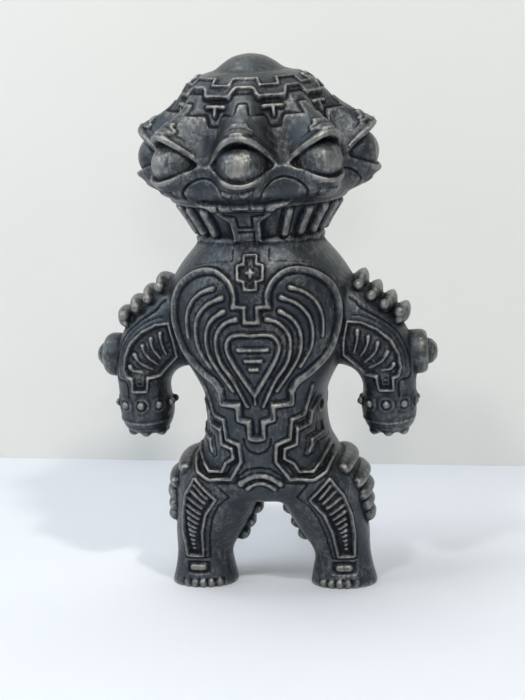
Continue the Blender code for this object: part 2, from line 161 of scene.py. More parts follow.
# Line work on the front, as X and Z on the viewer's right
HEART = [
    (3.9, 66.9), (3.7, 69.4), (4.9, 72.2), (7.4, 74.2), (10.4, 74.4), (13.6, 73.2), (16.6, 70.6),
    (18.0, 67.3), (18.3, 63.5), (17.4, 59.6), (15.6, 55.6), (12.0, 52.0), (9.1, 50.0), (7.8, 48.1),
]
HEART_DIP = [(3.9, 66.9), (1.5, 66.6), (1.5, 63.5), (0.0, 63.5)]
HEART_STEPS = [(7.8, 48.1), (7.6, 45.2), (3.8, 45.1), (3.7, 42.0), (1.5, 41.4), (1.4, 37.9), (0.0, 37.6)]
STROKES = [
    [(8.6, 70.8), (11.5, 69.6), (13.8, 67.3), (15.0, 64.0), (14.9, 59.7)],
    [(6.6, 68.8), (9.8, 67.3), (12.1, 64.7), (12.9, 61.5), (12.4, 57.4), (10.0, 53.3)],
    [(6.3, 65.8), (8.8, 64.1), (10.2, 61.6), (10.4, 58.2), (9.2, 54.5), (4.9, 48.3)],
    [(3.4, 64.2), (5.9, 63.3), (7.9, 60.8), (8.1, 57.3), (7.0, 53.9), (4.6, 50.5), (1.8, 44.9)],
]
INNER_HEART = [(0.0, 60.6), (2.6, 60.8), (4.7, 60.3), (5.7, 58.6), (5.3, 56.2), (3.3, 52.5), (0.0, 47.4)]
BARS = [(57.4, 3.2), (55.0, 1.7), (53.1, 0.8)]
CROSS = [(0.0, 77.6), (1.3, 77.6), (1.3, 75.9), (2.7, 75.5), (2.7, 72.7), (1.3, 72.3), (1.3, 70.7), (0.0, 70.6)]
COLLAR = [(12.6, 75.4), (7.7, 76.3), (3.9, 76.5), (3.9, 79.0)]
SIDE_STEPS = [
    (11.8, 48.6), (10.8, 45.6), (9.9, 42.2), (7.4, 41.5), (6.9, 37.2), (4.1, 36.2), (3.8, 32.4), (6.6, 27.9),
    (11.6, 27.6), (14.2, 29.0), (15.6, 31.6),
]
HIP_PLATE = [
    (12.6, 44.6), (11.3, 42.2), (10.9, 39.8), (8.4, 39.0), (8.2, 35.8), (5.8, 35.1), (5.6, 33.0), (7.5, 31.7),
    (8.6, 29.5), (11.6, 29.4), (13.2, 31.4), (14.6, 34.0),
]
HIP_CHANNEL = [
    (12.2, 46.4), (10.9, 43.2), (10.4, 40.7), (8.0, 40.2), (7.6, 36.6), (5.0, 35.6), (4.7, 32.8), (6.4, 31.0),
    (7.7, 28.8), (11.8, 28.5), (13.8, 30.2), (15.2, 33.0),
]
HOOK = [(13.0, 38.9), (13.2, 36.9), (11.2, 36.2), (11.2, 34.9), (10.7, 33.7)]
HOOK_GROOVE = [
    (12.0, 39.4), (12.1, 37.8), (10.3, 37.2), (10.1, 34.7), (9.7, 33.2), (10.6, 32.6), (11.7, 33.3), (12.2, 35.2),
    (14.0, 35.6),
]
HEART_FOOT = [(3.0, 37.6), (2.9, 36.2), (1.9, 34.8), (0.0, 34.1)]
CROTCH = [(29.0, 26.9, 4.4, 0.62), (27.2, 25.8, 3.0, 0.42)]
CROTCH_GROOVE = [(0.0, 30.9), (2.6, 30.4), (4.6, 28.9), (5.9, 26.8), (10.2, 26.5)]
HIP_NOTCH = [
    (10.2, 26.4), (7.6, 23.2), (10.2, 21.0), (11.9, 17.8), (13.2, 13.0), (14.0, 6.7), (16.8, 6.6), (19.6, 6.8),
]
TOE_GAPS = [FOOT_MIDDLE + 1.85 * (k - 2.5) for k in range(6)]
LEG_PANEL = [
    (15.1, 27.5), (10.7, 22.8), (13.4, 19.0), (14.9, 14.0), (15.6, 7.4), (19.0, 7.4), (19.4, 13.0), (19.0, 18.0),
    (17.6, 23.4),
]
LEG_BARS = [
    (12.7, 22.9, 15.3, 25.9), (13.4, 21.7, 16.7, 24.9), (14.2, 20.4, 17.4, 22.8), (14.8, 18.8, 17.8, 20.8),
    (15.3, 17.4, 17.9, 19.0), (15.8, 16.1, 17.9, 17.3), (16.3, 14.8, 18.0, 15.7), (16.6, 13.7, 17.9, 14.2),
    (16.9, 12.6, 17.8, 12.9), (17.1, 11.4, 17.7, 11.6), (17.3, 10.3, 17.6, 10.4), (17.3, 9.2, 17.5, 9.2),
]
FAN = [
    (19.8, 62.1), (22.6, 61.8), (26.0, 60.1), (28.9, 57.5), (30.4, 54.4), (30.8, 51.4), (30.2, 49.6), (29.1, 49.2),
    (29.0, 46.4), (26.1, 46.4), (25.6, 49.5), (23.1, 49.9), (21.2, 52.0), (18.6, 54.6), (18.9, 58.0),
]
FAN_GROOVE = [(20.8, 63.6), (23.0, 63.2), (25.9, 61.9), (28.7, 59.8), (30.6, 57.0), (31.9, 53.7), (32.0, 49.8)]
ARM_GROOVE = [
    (20.5, 67.1), (21.6, 66.4), (22.3, 65.4), (24.0, 64.2), (27.1, 62.2), (30.0, 59.6), (31.9, 56.2), (32.9, 52.6),
    (32.7, 49.0), (31.0, 48.6), (30.4, 47.4), (30.4, 44.9),
]
FAN_STROKES = [
    [(21.9, 59.9), (21.6, 57.4), (20.8, 54.9)],
    [(24.2, 58.6), (23.7, 56.4), (22.2, 54.1)],
    [(26.2, 57.0), (25.3, 54.8), (22.9, 52.6)],
    [(28.3, 55.0), (26.8, 53.0), (24.0, 51.4)],
    [(29.6, 52.2), (28.6, 51.2), (26.7, 50.9)],
]
TAB_PITS = (49.0, 48.0, 47.0)
TAB_MIDDLE = 27.5
HAND_LINE = [(21.6, 39.3), (24.0, 38.8), (27.6, 38.6), (31.0, 38.8), (33.4, 39.3)]
FOOT_BAR = [(15.6, 4.6), (17.9, 4.6)]
FOOT_RECESS = [(13.9, 3.2), (13.9, 6.0), (19.5, 6.0), (19.5, 3.2)]

# Plainer line work on the back, as X and Z
BACK_SHIELD = [
    (0.0, 73.0), (4.6, 73.8), (9.6, 72.4), (13.8, 68.8), (15.6, 63.6), (14.4, 57.6), (11.0, 52.2), (6.4, 47.6),
    (2.6, 43.6), (0.0, 41.2),
]
BACK_STROKES = [
    [(4.2, 70.0), (9.0, 68.8), (12.0, 65.2), (12.4, 60.6), (10.4, 55.8)],
    [(3.4, 65.6), (7.0, 64.8), (9.2, 61.8), (8.8, 57.8), (6.2, 53.0)],
]
BACK_SPINE = [(0.0, 68.6), (1.7, 68.6), (1.7, 65.4), (3.0, 61.4), (1.7, 57.4), (1.7, 53.2), (0.0, 49.0)]
BACK_HIPS = [
    [(0.0, 37.0), (5.0, 36.4), (9.6, 34.2), (12.2, 30.6)],
    [(0.0, 33.6), (4.0, 33.2), (7.4, 31.2), (9.2, 28.2)],
]

# Marks on the head, as degrees from the middle of an eye (or of a notch) and height
CAP_EDGE = [(0.0, 113.5), (6.6, 113.5), (8.8, 113.1), (10.6, 112.1), (12.6, 111.7), (22.5, 111.7)]
SHELL_EDGE = [
    (0.0, 110.8), (3.2, 110.8), (4.1, 110.4), (5.1, 108.5), (15.8, 108.2), (17.4, 107.5), (19.4, 105.8),
    (22.5, 105.7),
]
TEE_BAR = [(-6.8, 109.8), (6.8, 109.8)]
TEE_STEM = [(0.0, 109.8), (0.0, 107.9)]
RING_LINE = [(-12.0, 115.2), (12.0, 115.2), (13.8, 113.9), (31.2, 113.9), (33.0, 115.2)]
BROW_PLATE = [
    (-7.8, 104.7), (-7.3, 105.5), (-5.2, 106.0), (-4.3, 107.0), (4.3, 107.0), (5.2, 106.0), (7.3, 105.5),
    (7.8, 104.7),
]
CHEEK_DISC = [(9.4, 90.8), (11.5, 93.0), (16.0, 94.8), (22.5, 95.5), (29.0, 94.8), (33.5, 93.0), (35.6, 90.8)]
LIP_PLATE = [(-5.6, 90.9), (-5.4, 92.6), (5.4, 92.6), (5.6, 90.9)]
CHIN_PLATE = [(30.0, 90.0), (20.0, 88.8), (19.0, 87.0), (15.0, 86.0), (11.4, 85.0), (11.8, 80.6)]
CHIN_TEE = [(24.0, 90.3), (14.4, 90.0), (14.2, 87.6), (13.4, 86.8), (5.7, 86.4), (5.5, 83.7)]
CHIN_WING = [(9.0, 93.5), (1.4, 92.8), (2.6, 91.7), (7.0, 92.1)]
CHIN_CURVE = [(-5.6, 91.0), (-5.2, 89.4), (-2.4, 88.6), (2.4, 88.6), (5.2, 89.4), (5.6, 91.0)]
NECK_PLUG = [(-6.2, 82.6), (6.2, 82.6), (6.2, 79.4), (-6.2, 79.4)]
NECK_BAND = (80.6, 88.2)
NECK_BARS = [29.5 + 15.6 * k for k in range(20)]
NECK_NICKS = [EYE_STEP / 2 * k + EYE_STEP / 4 for k in range(EYES * 2)]
CHIN_TURN = -2.4

# Relief and skin, in millimetres but for the skin's spacing
LINE_GAP = 0.14
FOOT_DEPTH = 0.22
FULL_SPACING = 0.00023
CLOSE_UNIT = 0.07
BROAD_UNIT = 0.25
MOST_TRIANGLES = 199500


class CastingSizes(bpy.types.PropertyGroup):
    """Sizes of the casting"""

    eye_radius: bpy.props.FloatProperty(
        name="Eye radius", description="Half the width of an eyeball", default=0.0053, unit="LENGTH", min=0.003
    )
    eye_half_height: bpy.props.FloatProperty(
        name="Eye half height", description="Half the height of an eyeball", default=0.0051, unit="LENGTH", min=0.002
    )
    eye_orbit: bpy.props.FloatProperty(
        name="Eye orbit", description="From the axis to an eye's centre", default=0.0215, unit="LENGTH", min=0.01
    )
    eye_level: bpy.props.FloatProperty(
        name="Eye level", description="Height of the eyes", default=0.0981, unit="LENGTH", min=0.08
    )
    rib_size: bpy.props.FloatProperty(
        name="Rib size", description="Half the thickness of a rib on the arms", default=0.0016, unit="LENGTH",
        min=0.0005,
    )
    leg_rib_size: bpy.props.FloatProperty(
        name="Leg rib size", description="Half the thickness of a rib on the legs", default=0.00168, unit="LENGTH",
        min=0.0005,
    )
    bead_radius: bpy.props.FloatProperty(
        name="Bead radius", description="Radius of the beads on the wrists", default=0.0009, unit="LENGTH", min=0.0003
    )
    toe_radius: bpy.props.FloatProperty(
        name="Toe radius", description="Radius of the toe beads", default=0.0009, unit="LENGTH", min=0.0003
    )
    line_rise: bpy.props.FloatProperty(
        name="Line rise", description="How far the raised lines stand up", default=0.00065, unit="LENGTH", min=0.0
    )
    recess: bpy.props.FloatProperty(
        name="Recess", description="Depth of the fields inside the outlines", default=0.00045, unit="LENGTH", min=0.0
    )
    edge_depth: bpy.props.FloatProperty(
        name="Cap step", description="Depth of the stepped band under the cap", default=0.0004, unit="LENGTH", min=0.0
    )
    skin: bpy.props.FloatProperty(
        name="Skin", description="Mesh spacing of the casting", default=0.00023, unit="LENGTH", min=0.00015
    )
    triangles: bpy.props.IntProperty(
        name="Triangles", description="Triangles in the finished casting", default=194000, min=10000, max=199000
    )


class MetalFinish(bpy.types.PropertyGroup):
    """Colours of the rubbed dark metal"""

    dark: bpy.props.FloatVectorProperty(
        name="Dark metal", description="Blackened metal on the flats", subtype="COLOR", size=4, min=0, max=1,
        default=(0.043, 0.052, 0.061, 1.0),
    )
    worn: bpy.props.FloatVectorProperty(
        name="Worn metal", description="Thinner blackening where hands have rubbed it", subtype="COLOR", size=4,
        min=0, max=1, default=(0.135, 0.140, 0.138, 1.0),
    )
    # Hollow colour: partly blackening left in the hollows, partly painted shade where the recesses fall into shadow
    hollow_black_and_shade: bpy.props.FloatVectorProperty(
        name="Hollows", description="Blackening left in the hollows", subtype="COLOR", size=4, min=0, max=1,
        default=(0.010, 0.012, 0.017, 1.0),
    )
    rubbed: bpy.props.FloatVectorProperty(
        name="Rubbed metal", description="Bare metal on the rubbed edges", subtype="COLOR", size=4, min=0, max=1,
        default=(0.37, 0.365, 0.335, 1.0),
    )
    rub: bpy.props.FloatProperty(
        name="Rub", description="How much of the raised work is rubbed bare", default=0.62, min=0, max=1,
        subtype="FACTOR",
    )


class StudioSizes(bpy.types.PropertyGroup):
    """Where the camera and the wall stand, and the colours of the paper"""

    azimuth: bpy.props.FloatProperty(
        name="Camera turn", description="Camera turned to the figure's left", default=radians(9.2), subtype="ANGLE"
    )
    pitch: bpy.props.FloatProperty(
        name="Camera pitch", description="Camera looking down", default=radians(11.0), subtype="ANGLE"
    )
    roll: bpy.props.FloatProperty(
        name="Camera roll", description="Camera rolled about its view", default=radians(2.36), subtype="ANGLE"
    )
    distance: bpy.props.FloatProperty(
        name="Camera distance", description="Level distance from the figure's axis", default=0.3809, unit="LENGTH"
    )
    height: bpy.props.FloatProperty(
        name="Camera height", description="Camera above the floor", default=0.1281, unit="LENGTH"
    )
    aside: bpy.props.FloatProperty(
        name="Camera aside", description="Camera moved to its right", default=-0.0007, unit="LENGTH"
    )
    lens: bpy.props.FloatProperty(name="Lens", description="Focal length in millimetres", default=88.8, min=20)
    wall: bpy.props.FloatProperty(
        name="Wall distance", description="Wall behind the figure's axis", default=0.104, unit="LENGTH"
    )
    floor: bpy.props.FloatVectorProperty(
        name="Floor", description="Colour of the paper on the floor", subtype="COLOR", size=4, min=0, max=1,
        default=(0.655, 0.69, 0.745, 1.0),
    )
    paint: bpy.props.FloatVectorProperty(
        name="Wall", description="Colour of the wall", subtype="COLOR", size=4, min=0, max=1,
        default=(0.71, 0.71, 0.685, 1.0),
    )


# Curves and forms


def between(a, b, share):
    return tuple(p + (q - p) * share for p, q in zip(a, b))


def curve_at(table, share):
    """The point this share of the way along a smooth curve through the table's rows."""
    last = len(table) - 1
    place = min(max(share, 0.0), 1.0) * last
    i = min(int(place), last - 1)
    t = place - i
    p, q, r, s = table[max(i - 1, 0)], table[i], table[i + 1], table[min(i + 2, last)]
    return tuple(
        0.5 * (2 * b + (c - a) * t + (2 * a - 5 * b + 4 * c - d) * t**2 + (3 * b - a - 3 * c + d) * t**3)
        for a, b, c, d in zip(p, q, r, s)
    )


def rounded(path, per_step=6):
    """The path as a smooth curve."""
    steps = (len(path) - 1) * per_step
    return [curve_at(path, k / steps) for k in range(steps + 1)]


def both_sides(half):
    """A half path that starts on the middle line, or ends there, with its mirror image joined on."""
    if abs(half[0][0]) < 1e-6:
        half = half[::-1]
    return half + mirrored(half[-2::-1], -1)


def closed_loop(half):
    """A half outline from the middle line to the middle line, closed with its mirror image."""
    return half + mirrored(half[-2:0:-1], -1)


def mirrored(path, side):
    return [(side * x, z) for x, z in path]


def looped(path):
    return path + path[:1]


def shifted(path, turn, rise=0.0):
    return [(u + turn, z + rise) for u, z in path]


def smooth_step(t):
    return t * t * (3 - 2 * t)


def eye_wave(turn):
    """1 over each eye and 0 between two eyes, at this share of a turn from the front."""
    return 0.5 + 0.5 * cos(EYES * tau * turn)


def add_object(shape, name):
    mesh = bpy.data.meshes.new(name)
    shape.to_mesh(mesh)
    shape.free()
    obj = bpy.data.objects.new(name, mesh)
    bpy.context.scene.collection.objects.link(obj)
    return obj


def wrapped(name, around, along, place):
    """A closed form: a grid wrapped round so that place(share round, share along) gives each point in mm."""
    shape = bmesh.new()
    bmesh.ops.create_grid(shape, x_segments=around, y_segments=along, size=0.5)
    for vert in shape.verts:
        vert.co = Vector(place(vert.co.x + 0.5, vert.co.y + 0.5)) * MM
    bmesh.ops.remove_doubles(shape, verts=shape.verts, dist=0.002 * MM)
    rims = [edge for edge in shape.edges if edge.is_boundary]
    bmesh.ops.holes_fill(shape, edges=rims, sides=0)
    bmesh.ops.recalc_face_normals(shape, faces=shape.faces)
    return add_object(shape, name)


def oval_point(centre, across, front, back, turn, squareness):
    c, s = cos(tau * turn), sin(tau * turn)
    u = abs(c) ** (2 / squareness) * (1 if c >= 0 else -1)
    v = abs(s) ** (2 / squareness)
    return Vector(centre) + Vector(across) * u + Vector((0, v * (back if s >= 0 else front), 0))


def torso():
    def place(turn, share):
        z, half, front, back = curve_at(TORSO, share)
        return oval_point((0, 0, z), (half, 0, 0), front, back, turn, 2.2)

    return wrapped("torso", 96, 90, place)


def leg(side):
    def place(turn, share):
        z, middle, half, front, back = curve_at(LEG, share)
        return oval_point((side * middle, 0, z), (half, 0, 0), front, back, turn, 2.0 + 0.3 * min(1, z / 6))

    return wrapped("leg", 64, 60, place)


def arm(side):
    def place(turn, share):
        ax, az, bx, bz, y, depth = curve_at(ARM, share)
        centre = (side * (ax + bx) / 2, y, (az + bz) / 2)
        across = (side * (bx - ax) / 2, 0, (bz - az) / 2)
        return oval_point(centre, across, -depth, depth, turn, 2.1)

    return wrapped("arm", 64, 70, place)


def arched(w):
    """The wave of a lid: a broad arch over each eye and a short level stretch between two."""
    return w + 0.45 * (w**0.5 - w) * smooth_step(min(1.0, w / 0.15))


def head_profile(turn):
    """Radius and height down one side of the head, at this share of a turn from the front."""
    w = eye_wave(turn)
    opened = max(0.0, (w - 0.08) / 0.92)
    full = w + 0.7 * (smooth_step(w) - w)
    arch = arched(w)
    shell = [(t[0] + (c[0] - t[0]) * full, t[1] + (c[1] - t[1]) * arch) for t, c in zip(TROUGH, CREST)]
    rim = shell[-1]
    lip = (LIP_HIGH[0] + (LIP_LOW[0] - LIP_HIGH[0]) * full, LIP_HIGH[1] + (LIP_LOW[1] - LIP_HIGH[1]) * w)
    tuck = min(HOOD_LIP, (rim[1] - lip[1]) / 4)
    socket = rim[0] - 0.1 - (rim[0] - 0.1 - SOCKET) * opened**0.5
    upper = shell[:-1] + [between(shell[-2], rim, 0.5), between(shell[-2], rim, 0.86), rim]
    inner = [
        (rim[0] + 0.05, rim[1] - tuck * 0.5),
        (rim[0] - 0.5, rim[1] - tuck * 1.1),
        (rim[0] - 1.5, rim[1] - tuck * 1.35),
        (socket + 0.3, rim[1] - tuck * 1.4),
        (socket, rim[1] - tuck * 2.0),
        (socket, lip[1] + tuck * 1.4),
        (socket + 0.4, lip[1] + tuck * 0.9),
        (lip[0] - 1.6, lip[1] + tuck * 0.35),
        (lip[0] - 0.4, lip[1] + 0.2),
    ]
    bowl = [between(t, c, w) for t, c in zip(BOWL_TROUGH, BOWL_CREST)]
    under = [lip, (lip[0] - 0.15, lip[1] - 0.7), between(lip, bowl[0], 0.5)] + bowl
    return DOME + upper + inner + under + CONE


def head_shell(columns):
    profiles = {}

    def place(turn, share):
        key = round(turn * columns)
        if key not in profiles:
            profiles[key] = head_profile(turn)
        radius, z = curve_at(profiles[key], share)
        lean = -LEAN[2] * min(max((z - LEAN[0]) / LEAN[1], 0), 1)
        return (max(radius, 0.0) * sin(tau * turn) + lean, -max(radius, 0.0) * cos(tau * turn), z)

    return wrapped("head", columns, 260, place)


def ball(name, centre, radius, flatten=1.0, around=24):
    shape = bmesh.new()
    bmesh.ops.create_uvsphere(shape, u_segments=around, v_segments=around // 2, radius=radius * MM)
    bmesh.ops.scale(shape, verts=shape.verts, vec=(1, 1, flatten))
    bmesh.ops.translate(shape, verts=shape.verts, vec=Vector(centre) * MM)
    return add_object(shape, name)


def pointed(value, power):
    return abs(value) ** power * (1 if value >= 0 else -1)


def bar(name, path, size_at, lead, wide=1.0, tall=1.0, along=40, point=1.0):
    """A bar along the path, with a size for each share of it, wide across the lead and tall along it.

    It is round where point is 1 and has sharper crests where it is more.
    """
    curve = [Vector(curve_at(path, k / along)) for k in range(along + 1)]

    def place(turn, share):
        k = round(share * along)
        ahead = (curve[min(k + 1, along)] - curve[max(k - 1, 0)]).normalized()
        across = ahead.cross(lead).normalized()
        up = across.cross(ahead)
        a = tau * turn
        u, v = pointed(cos(a), point) * wide, pointed(sin(a), point) * tall
        return curve[k] + (across * u + up * v) * size_at(share)

    return wrapped(name, 20, along, place)


def blunt(share, taper=0.12):
    """Rounded ends for a bar: full size but for this share at either end."""
    near = min(share, 1 - share) / taper
    return 1.0 if near >= 1 else (1 - (1 - near) ** 2) ** 0.5


def arm_rib(side, rib, size):
    """A horn-like rib over the outside of the arm."""
    low = Vector((rib[0], 0, rib[1]))
    out = Vector((rib[2], 0, rib[3])) - low
    lead = Vector((side * out.x, 0, out.z))
    out -= out.normalized() * (size * 1.6)
    path = []
    for degrees in ARM_RIB_TURNS:
        a = radians(degrees)
        p = low + out * cos(a) + Vector((0, -0.8 + 7.8 * sin(a), 0))
        path.append((side * p.x, p.y, p.z))

    def size_at(share):
        return size * (0.5 + 0.5 * min(1, share / 0.3)) * blunt(share, 0.16)

    return bar("arm_rib", path, size_at, lead, wide=1.16, tall=1.62, point=1.3)


def leg_size(z):
    """Middle, half width, front and back of the leg at this height."""
    for lower, upper in zip(LEG, LEG[1:]):
        if lower[0] <= z <= upper[0]:
            return between(lower, upper, (z - lower[0]) / (upper[0] - lower[0]))[1:]
    return LEG[-1][1:]


def leg_rib(side, rib, size):
    """A rib from the front of the leg up round its outside, then down the back to the inside."""
    start, low, high = rib
    path = []
    for k in range(14):
        turn = start + (180 - start) * k / 13
        rise = min(1.0, (turn - start) / (4 - start))
        z = low + (high - low) * rise * (2 - rise) - 6.2 * max(0, turn - 36) / 144
        middle, half, front, back = leg_size(z)
        a = radians(turn)
        x = middle + (half + 0.3) * cos(a)
        y = (back + 0.3) * sin(a) if a >= 0 else (0.3 - front) * sin(a)
        path.append((side * x, y, z))

    def size_at(share):
        return size * (0.94 + 0.06 * sin(pi * share)) * blunt(share, 0.05)

    return bar("leg_rib", path, size_at, Vector((0, 0, 1)), wide=1.2, along=60, point=1.12)


def disc(side):
    axis = Vector((cos(DISC_TURN), sin(DISC_TURN), 0))
    flat = Vector((-sin(DISC_TURN), cos(DISC_TURN), 0))

    def place(turn, share):
        row = share * (len(DISC) - 1)
        i = min(int(row), len(DISC) - 2)
        radius, out = between(DISC[i], DISC[i + 1], row - i)
        a = tau * turn
        p = Vector(DISC_CENTRE) + axis * out + flat * (radius * cos(a)) + Vector((0, 0, radius * sin(a)))
        return (side * p.x, p.y, p.z)

    return wrapped("disc", 48, (len(DISC) - 1) * 4, place)


# Dense meshes as arrays


def read_array(items, field, width, kind=np.float32):
    flat = np.empty(len(items) * width, kind)
    items.foreach_get(field, flat)
    return flat.reshape(-1, width)


def points_of(mesh):
    return read_array(mesh.vertices, "co", 3).astype(float)


def move_points(mesh, points):
    mesh.vertices.foreach_set("co", points.astype(np.float32).ravel())
    mesh.update()


def edges_of(mesh):
    return read_array(mesh.edges, "vertices", 2, np.int32)


def normals_of(mesh):
    return read_array(mesh.vertex_normals, "vector", 3).astype(float)


def relax(values, edges, times, share=0.5):
    """Each point moved towards the middle of its neighbours, this many times."""
    count = len(values)
    neighbours = np.bincount(edges.ravel(), minlength=count)[:, None]
    a, b = edges[:, 0], edges[:, 1]
    for _ in range(times):
        total = np.empty_like(values)
        for k in range(values.shape[1]):
            total[:, k] = np.bincount(a, values[b, k], count) + np.bincount(b, values[a, k], count)
        values = values + (total / np.maximum(neighbours, 1) - values) * share
    return values


def joined(objects, name):
    base = objects[0]
    with bpy.context.temp_override(active_object=base, object=base, selected_editable_objects=objects):
        bpy.ops.object.join()
    base.name = name
    return base


def one_skin(objects, name, spacing):
    """All the forms as one closed skin with evenly spaced points."""
    base = joined(objects, name)
    cover = base.modifiers.new("cover", "REMESH")
    cover.mode = "VOXEL"
    cover.voxel_size = spacing
    apply_modifiers(base)
    return base


def apply_modifiers(obj):
    view = bpy.context.evaluated_depsgraph_get()
    mesh = bpy.data.meshes.new_from_object(obj.evaluated_get(view))
    obj.modifiers.clear()
    obj.data = mesh


def search_tree(obj):
    """The surface as a search tree, in millimetres."""
    loops = read_array(obj.data.loops, "vertex_index", 1, np.int32).ravel()
    starts = read_array(obj.data.polygons, "loop_start", 1, np.int32).ravel()
    faces = [face.tolist() for face in np.split(loops, starts[1:])]
    return BVHTree.FromPolygons((points_of(obj.data) / MM).tolist(), faces)


def finder_of(points):
    finder = KDTree(len(points))
    for i, p in enumerate(points.tolist()):
        finder.insert(p, i)
    finder.balance()
    return finder


def spacing_of(sizes):
    """Mesh spacing of the skins."""
    return sizes.skin * 1.0


# Relief: raised lines, grooves and fields, gathered as heights over the surface


def soft_edge(signed):
    """0 outside an outline and 1 inside it, with a smooth step from -1 to 1."""
    signed = np.clip(signed, -1, 1)
    return 0.5 + signed * (0.75 - 0.25 * signed * signed)


def draw(relief, view, rise, drawn):
    """Draw rows of path, half width, rise and ends: raised rows are shares of the rise, grooves are in mm."""
    for path, half, share, *ends in drawn:
        relief.line(view, path, half, share * rise if share > 0 else share, *ends)


class Relief:
    """Heights in mm for every point of a form, drawn from the front, the back or round the axis."""

    def __init__(self, obj):
        self.obj = obj
        self.tree = search_tree(obj)
        self.points = points_of(obj.data) / MM
        move_points(obj.data, relax(self.points, edges_of(obj.data), 12) * MM)
        self.normals = normals_of(obj.data)
        move_points(obj.data, self.points * MM)
        self.finder = finder_of(self.points)
        self.ground, self.raised, self.cut, self.foot = np.zeros((4, len(self.points)))

    def land(self, view, u, v):
        """Where a point of a drawing lands: X and Z from the front or back, degrees and Z round the axis."""
        if view == "round":
            a = radians(u)
            out = Vector((sin(a), -cos(a), 0))
            start, ahead = out * 60 + Vector((0, 0, v)), -out
        elif view == "back":
            start, ahead = Vector((u, 60, v)), Vector((0, -1, 0))
        else:
            start, ahead = Vector((u, -60, v)), Vector((0, 1, 0))
        return self.tree.ray_cast(start, ahead)[0]

    def landed(self, view, path, gap=LINE_GAP):
        """Points on the surface along a drawn path, this far apart."""
        result = []
        for p, q in zip(path, path[1:]):
            scale = 0.3 if view == "round" else 1.0
            steps = max(1, int(hypot((q[0] - p[0]) * scale, q[1] - p[1]) / gap))
            for k in range(steps):
                spot = self.land(view, *between(p, q, k / steps))
                if spot is not None:
                    result.append(spot)
        spot = self.land(view, *path[-1])
        if spot is not None:
            result.append(spot)
        return result

    def line(self, view, path, half, rise, bulb=0.0, end_bulb=0.0, taper=1.0):
        """A line with rounded sides; a bulb widens an end, and taper narrows the far end.

        A groove is sunk along the foot of a line that stands higher than 0.4 mm.
        """
        spots = self.landed(view, path)
        last = max(1, len(spots) - 1)
        length = LINE_GAP * last
        target = self.raised if rise > 0 else self.cut
        reach = 1.7 if rise > 0.4 else 1.25
        for k, spot in enumerate(spots):
            share = k / last
            wide = half * (1 + (taper - 1) * share)
            wide += bulb * max(0.0, 1 - (share * length) ** 2)
            wide += end_bulb * max(0.0, 1 - ((1 - share) * length) ** 2)
            for _, i, d in self.finder.find_range(spot, wide * reach):
                t = d / wide
                if t < 0.45:
                    level = 1 - 0.2 * t * t
                else:
                    level = 0.96 * (1 - smooth_step(min(1.0, (t - 0.45) / 0.75)))
                level *= abs(rise)
                if level > target[i]:
                    target[i] = level
                foot = FOOT_DEPTH * (1 - ((t - 1.3) / 0.4) ** 2)
                if foot > self.foot[i] and rise > 0.4:
                    self.foot[i] = foot

    def field(self, view, outline, rise, edge=0.3, turn=0.0):
        """A closed field raised or sunk by rise, with a soft step along its outline."""
        closed = looped(outline)
        x, y, z = self.points.T
        if view == "round":
            u = (np.degrees(np.arctan2(x, -y)) - turn + 180) % 360 - 180
            outwards = (self.normals[:, 0] * x + self.normals[:, 1] * y) / np.maximum(np.hypot(x, y), 1e-6)
            seen = outwards > -0.2
            path = shifted(closed, turn)
        else:
            u = x
            seen = self.normals[:, 1] < 0.1 if view == "front" else self.normals[:, 1] > -0.1
            seen &= y < 2 if view == "front" else y > -2
            path = closed
        low_u, high_u = min(p[0] for p in closed), max(p[0] for p in closed)
        low_z, high_z = min(p[1] for p in closed), max(p[1] for p in closed)
        margin = 2.0 if view == "round" else 1.0
        near = seen & (u > low_u - margin) & (u < high_u + margin) & (z > low_z - 1) & (z < high_z + 1)
        picked = np.nonzero(near)[0]
        pu, pz = u[picked], z[picked]
        inside = np.zeros(len(picked), bool)
        for (u0, z0), (u1, z1) in zip(closed, closed[1:]):
            if z0 == z1:
                continue
            crosses = (z0 > pz) != (z1 > pz)
            inside ^= crosses & (pu < (u1 - u0) * (pz - z0) / (z1 - z0) + u0)
        away = np.full(len(self.points), 9.0)
        for spot in self.landed(view, path, 0.2):
            for _, i, d in self.finder.find_range(spot, edge + 0.15):
                if d < away[i]:
                    away[i] = d
        self.ground[picked] += rise * soft_edge(np.where(inside, 1, -1) * away[picked] / edge)

    def band(self, low, high, rise, edge):
        """A level band all round the form, raised or sunk by rise."""
        away = np.minimum(self.points[:, 2] - low, high - self.points[:, 2])
        self.ground += rise * soft_edge(away / edge)

    def raise_surface(self):
        """Move the form's points out by what has been drawn."""
        height = self.ground + self.raised - self.cut - self.foot * np.clip(1 - self.raised / 0.3, 0, 1)
        move_points(self.obj.data, (self.points + self.normals * height[:, None]) * MM)


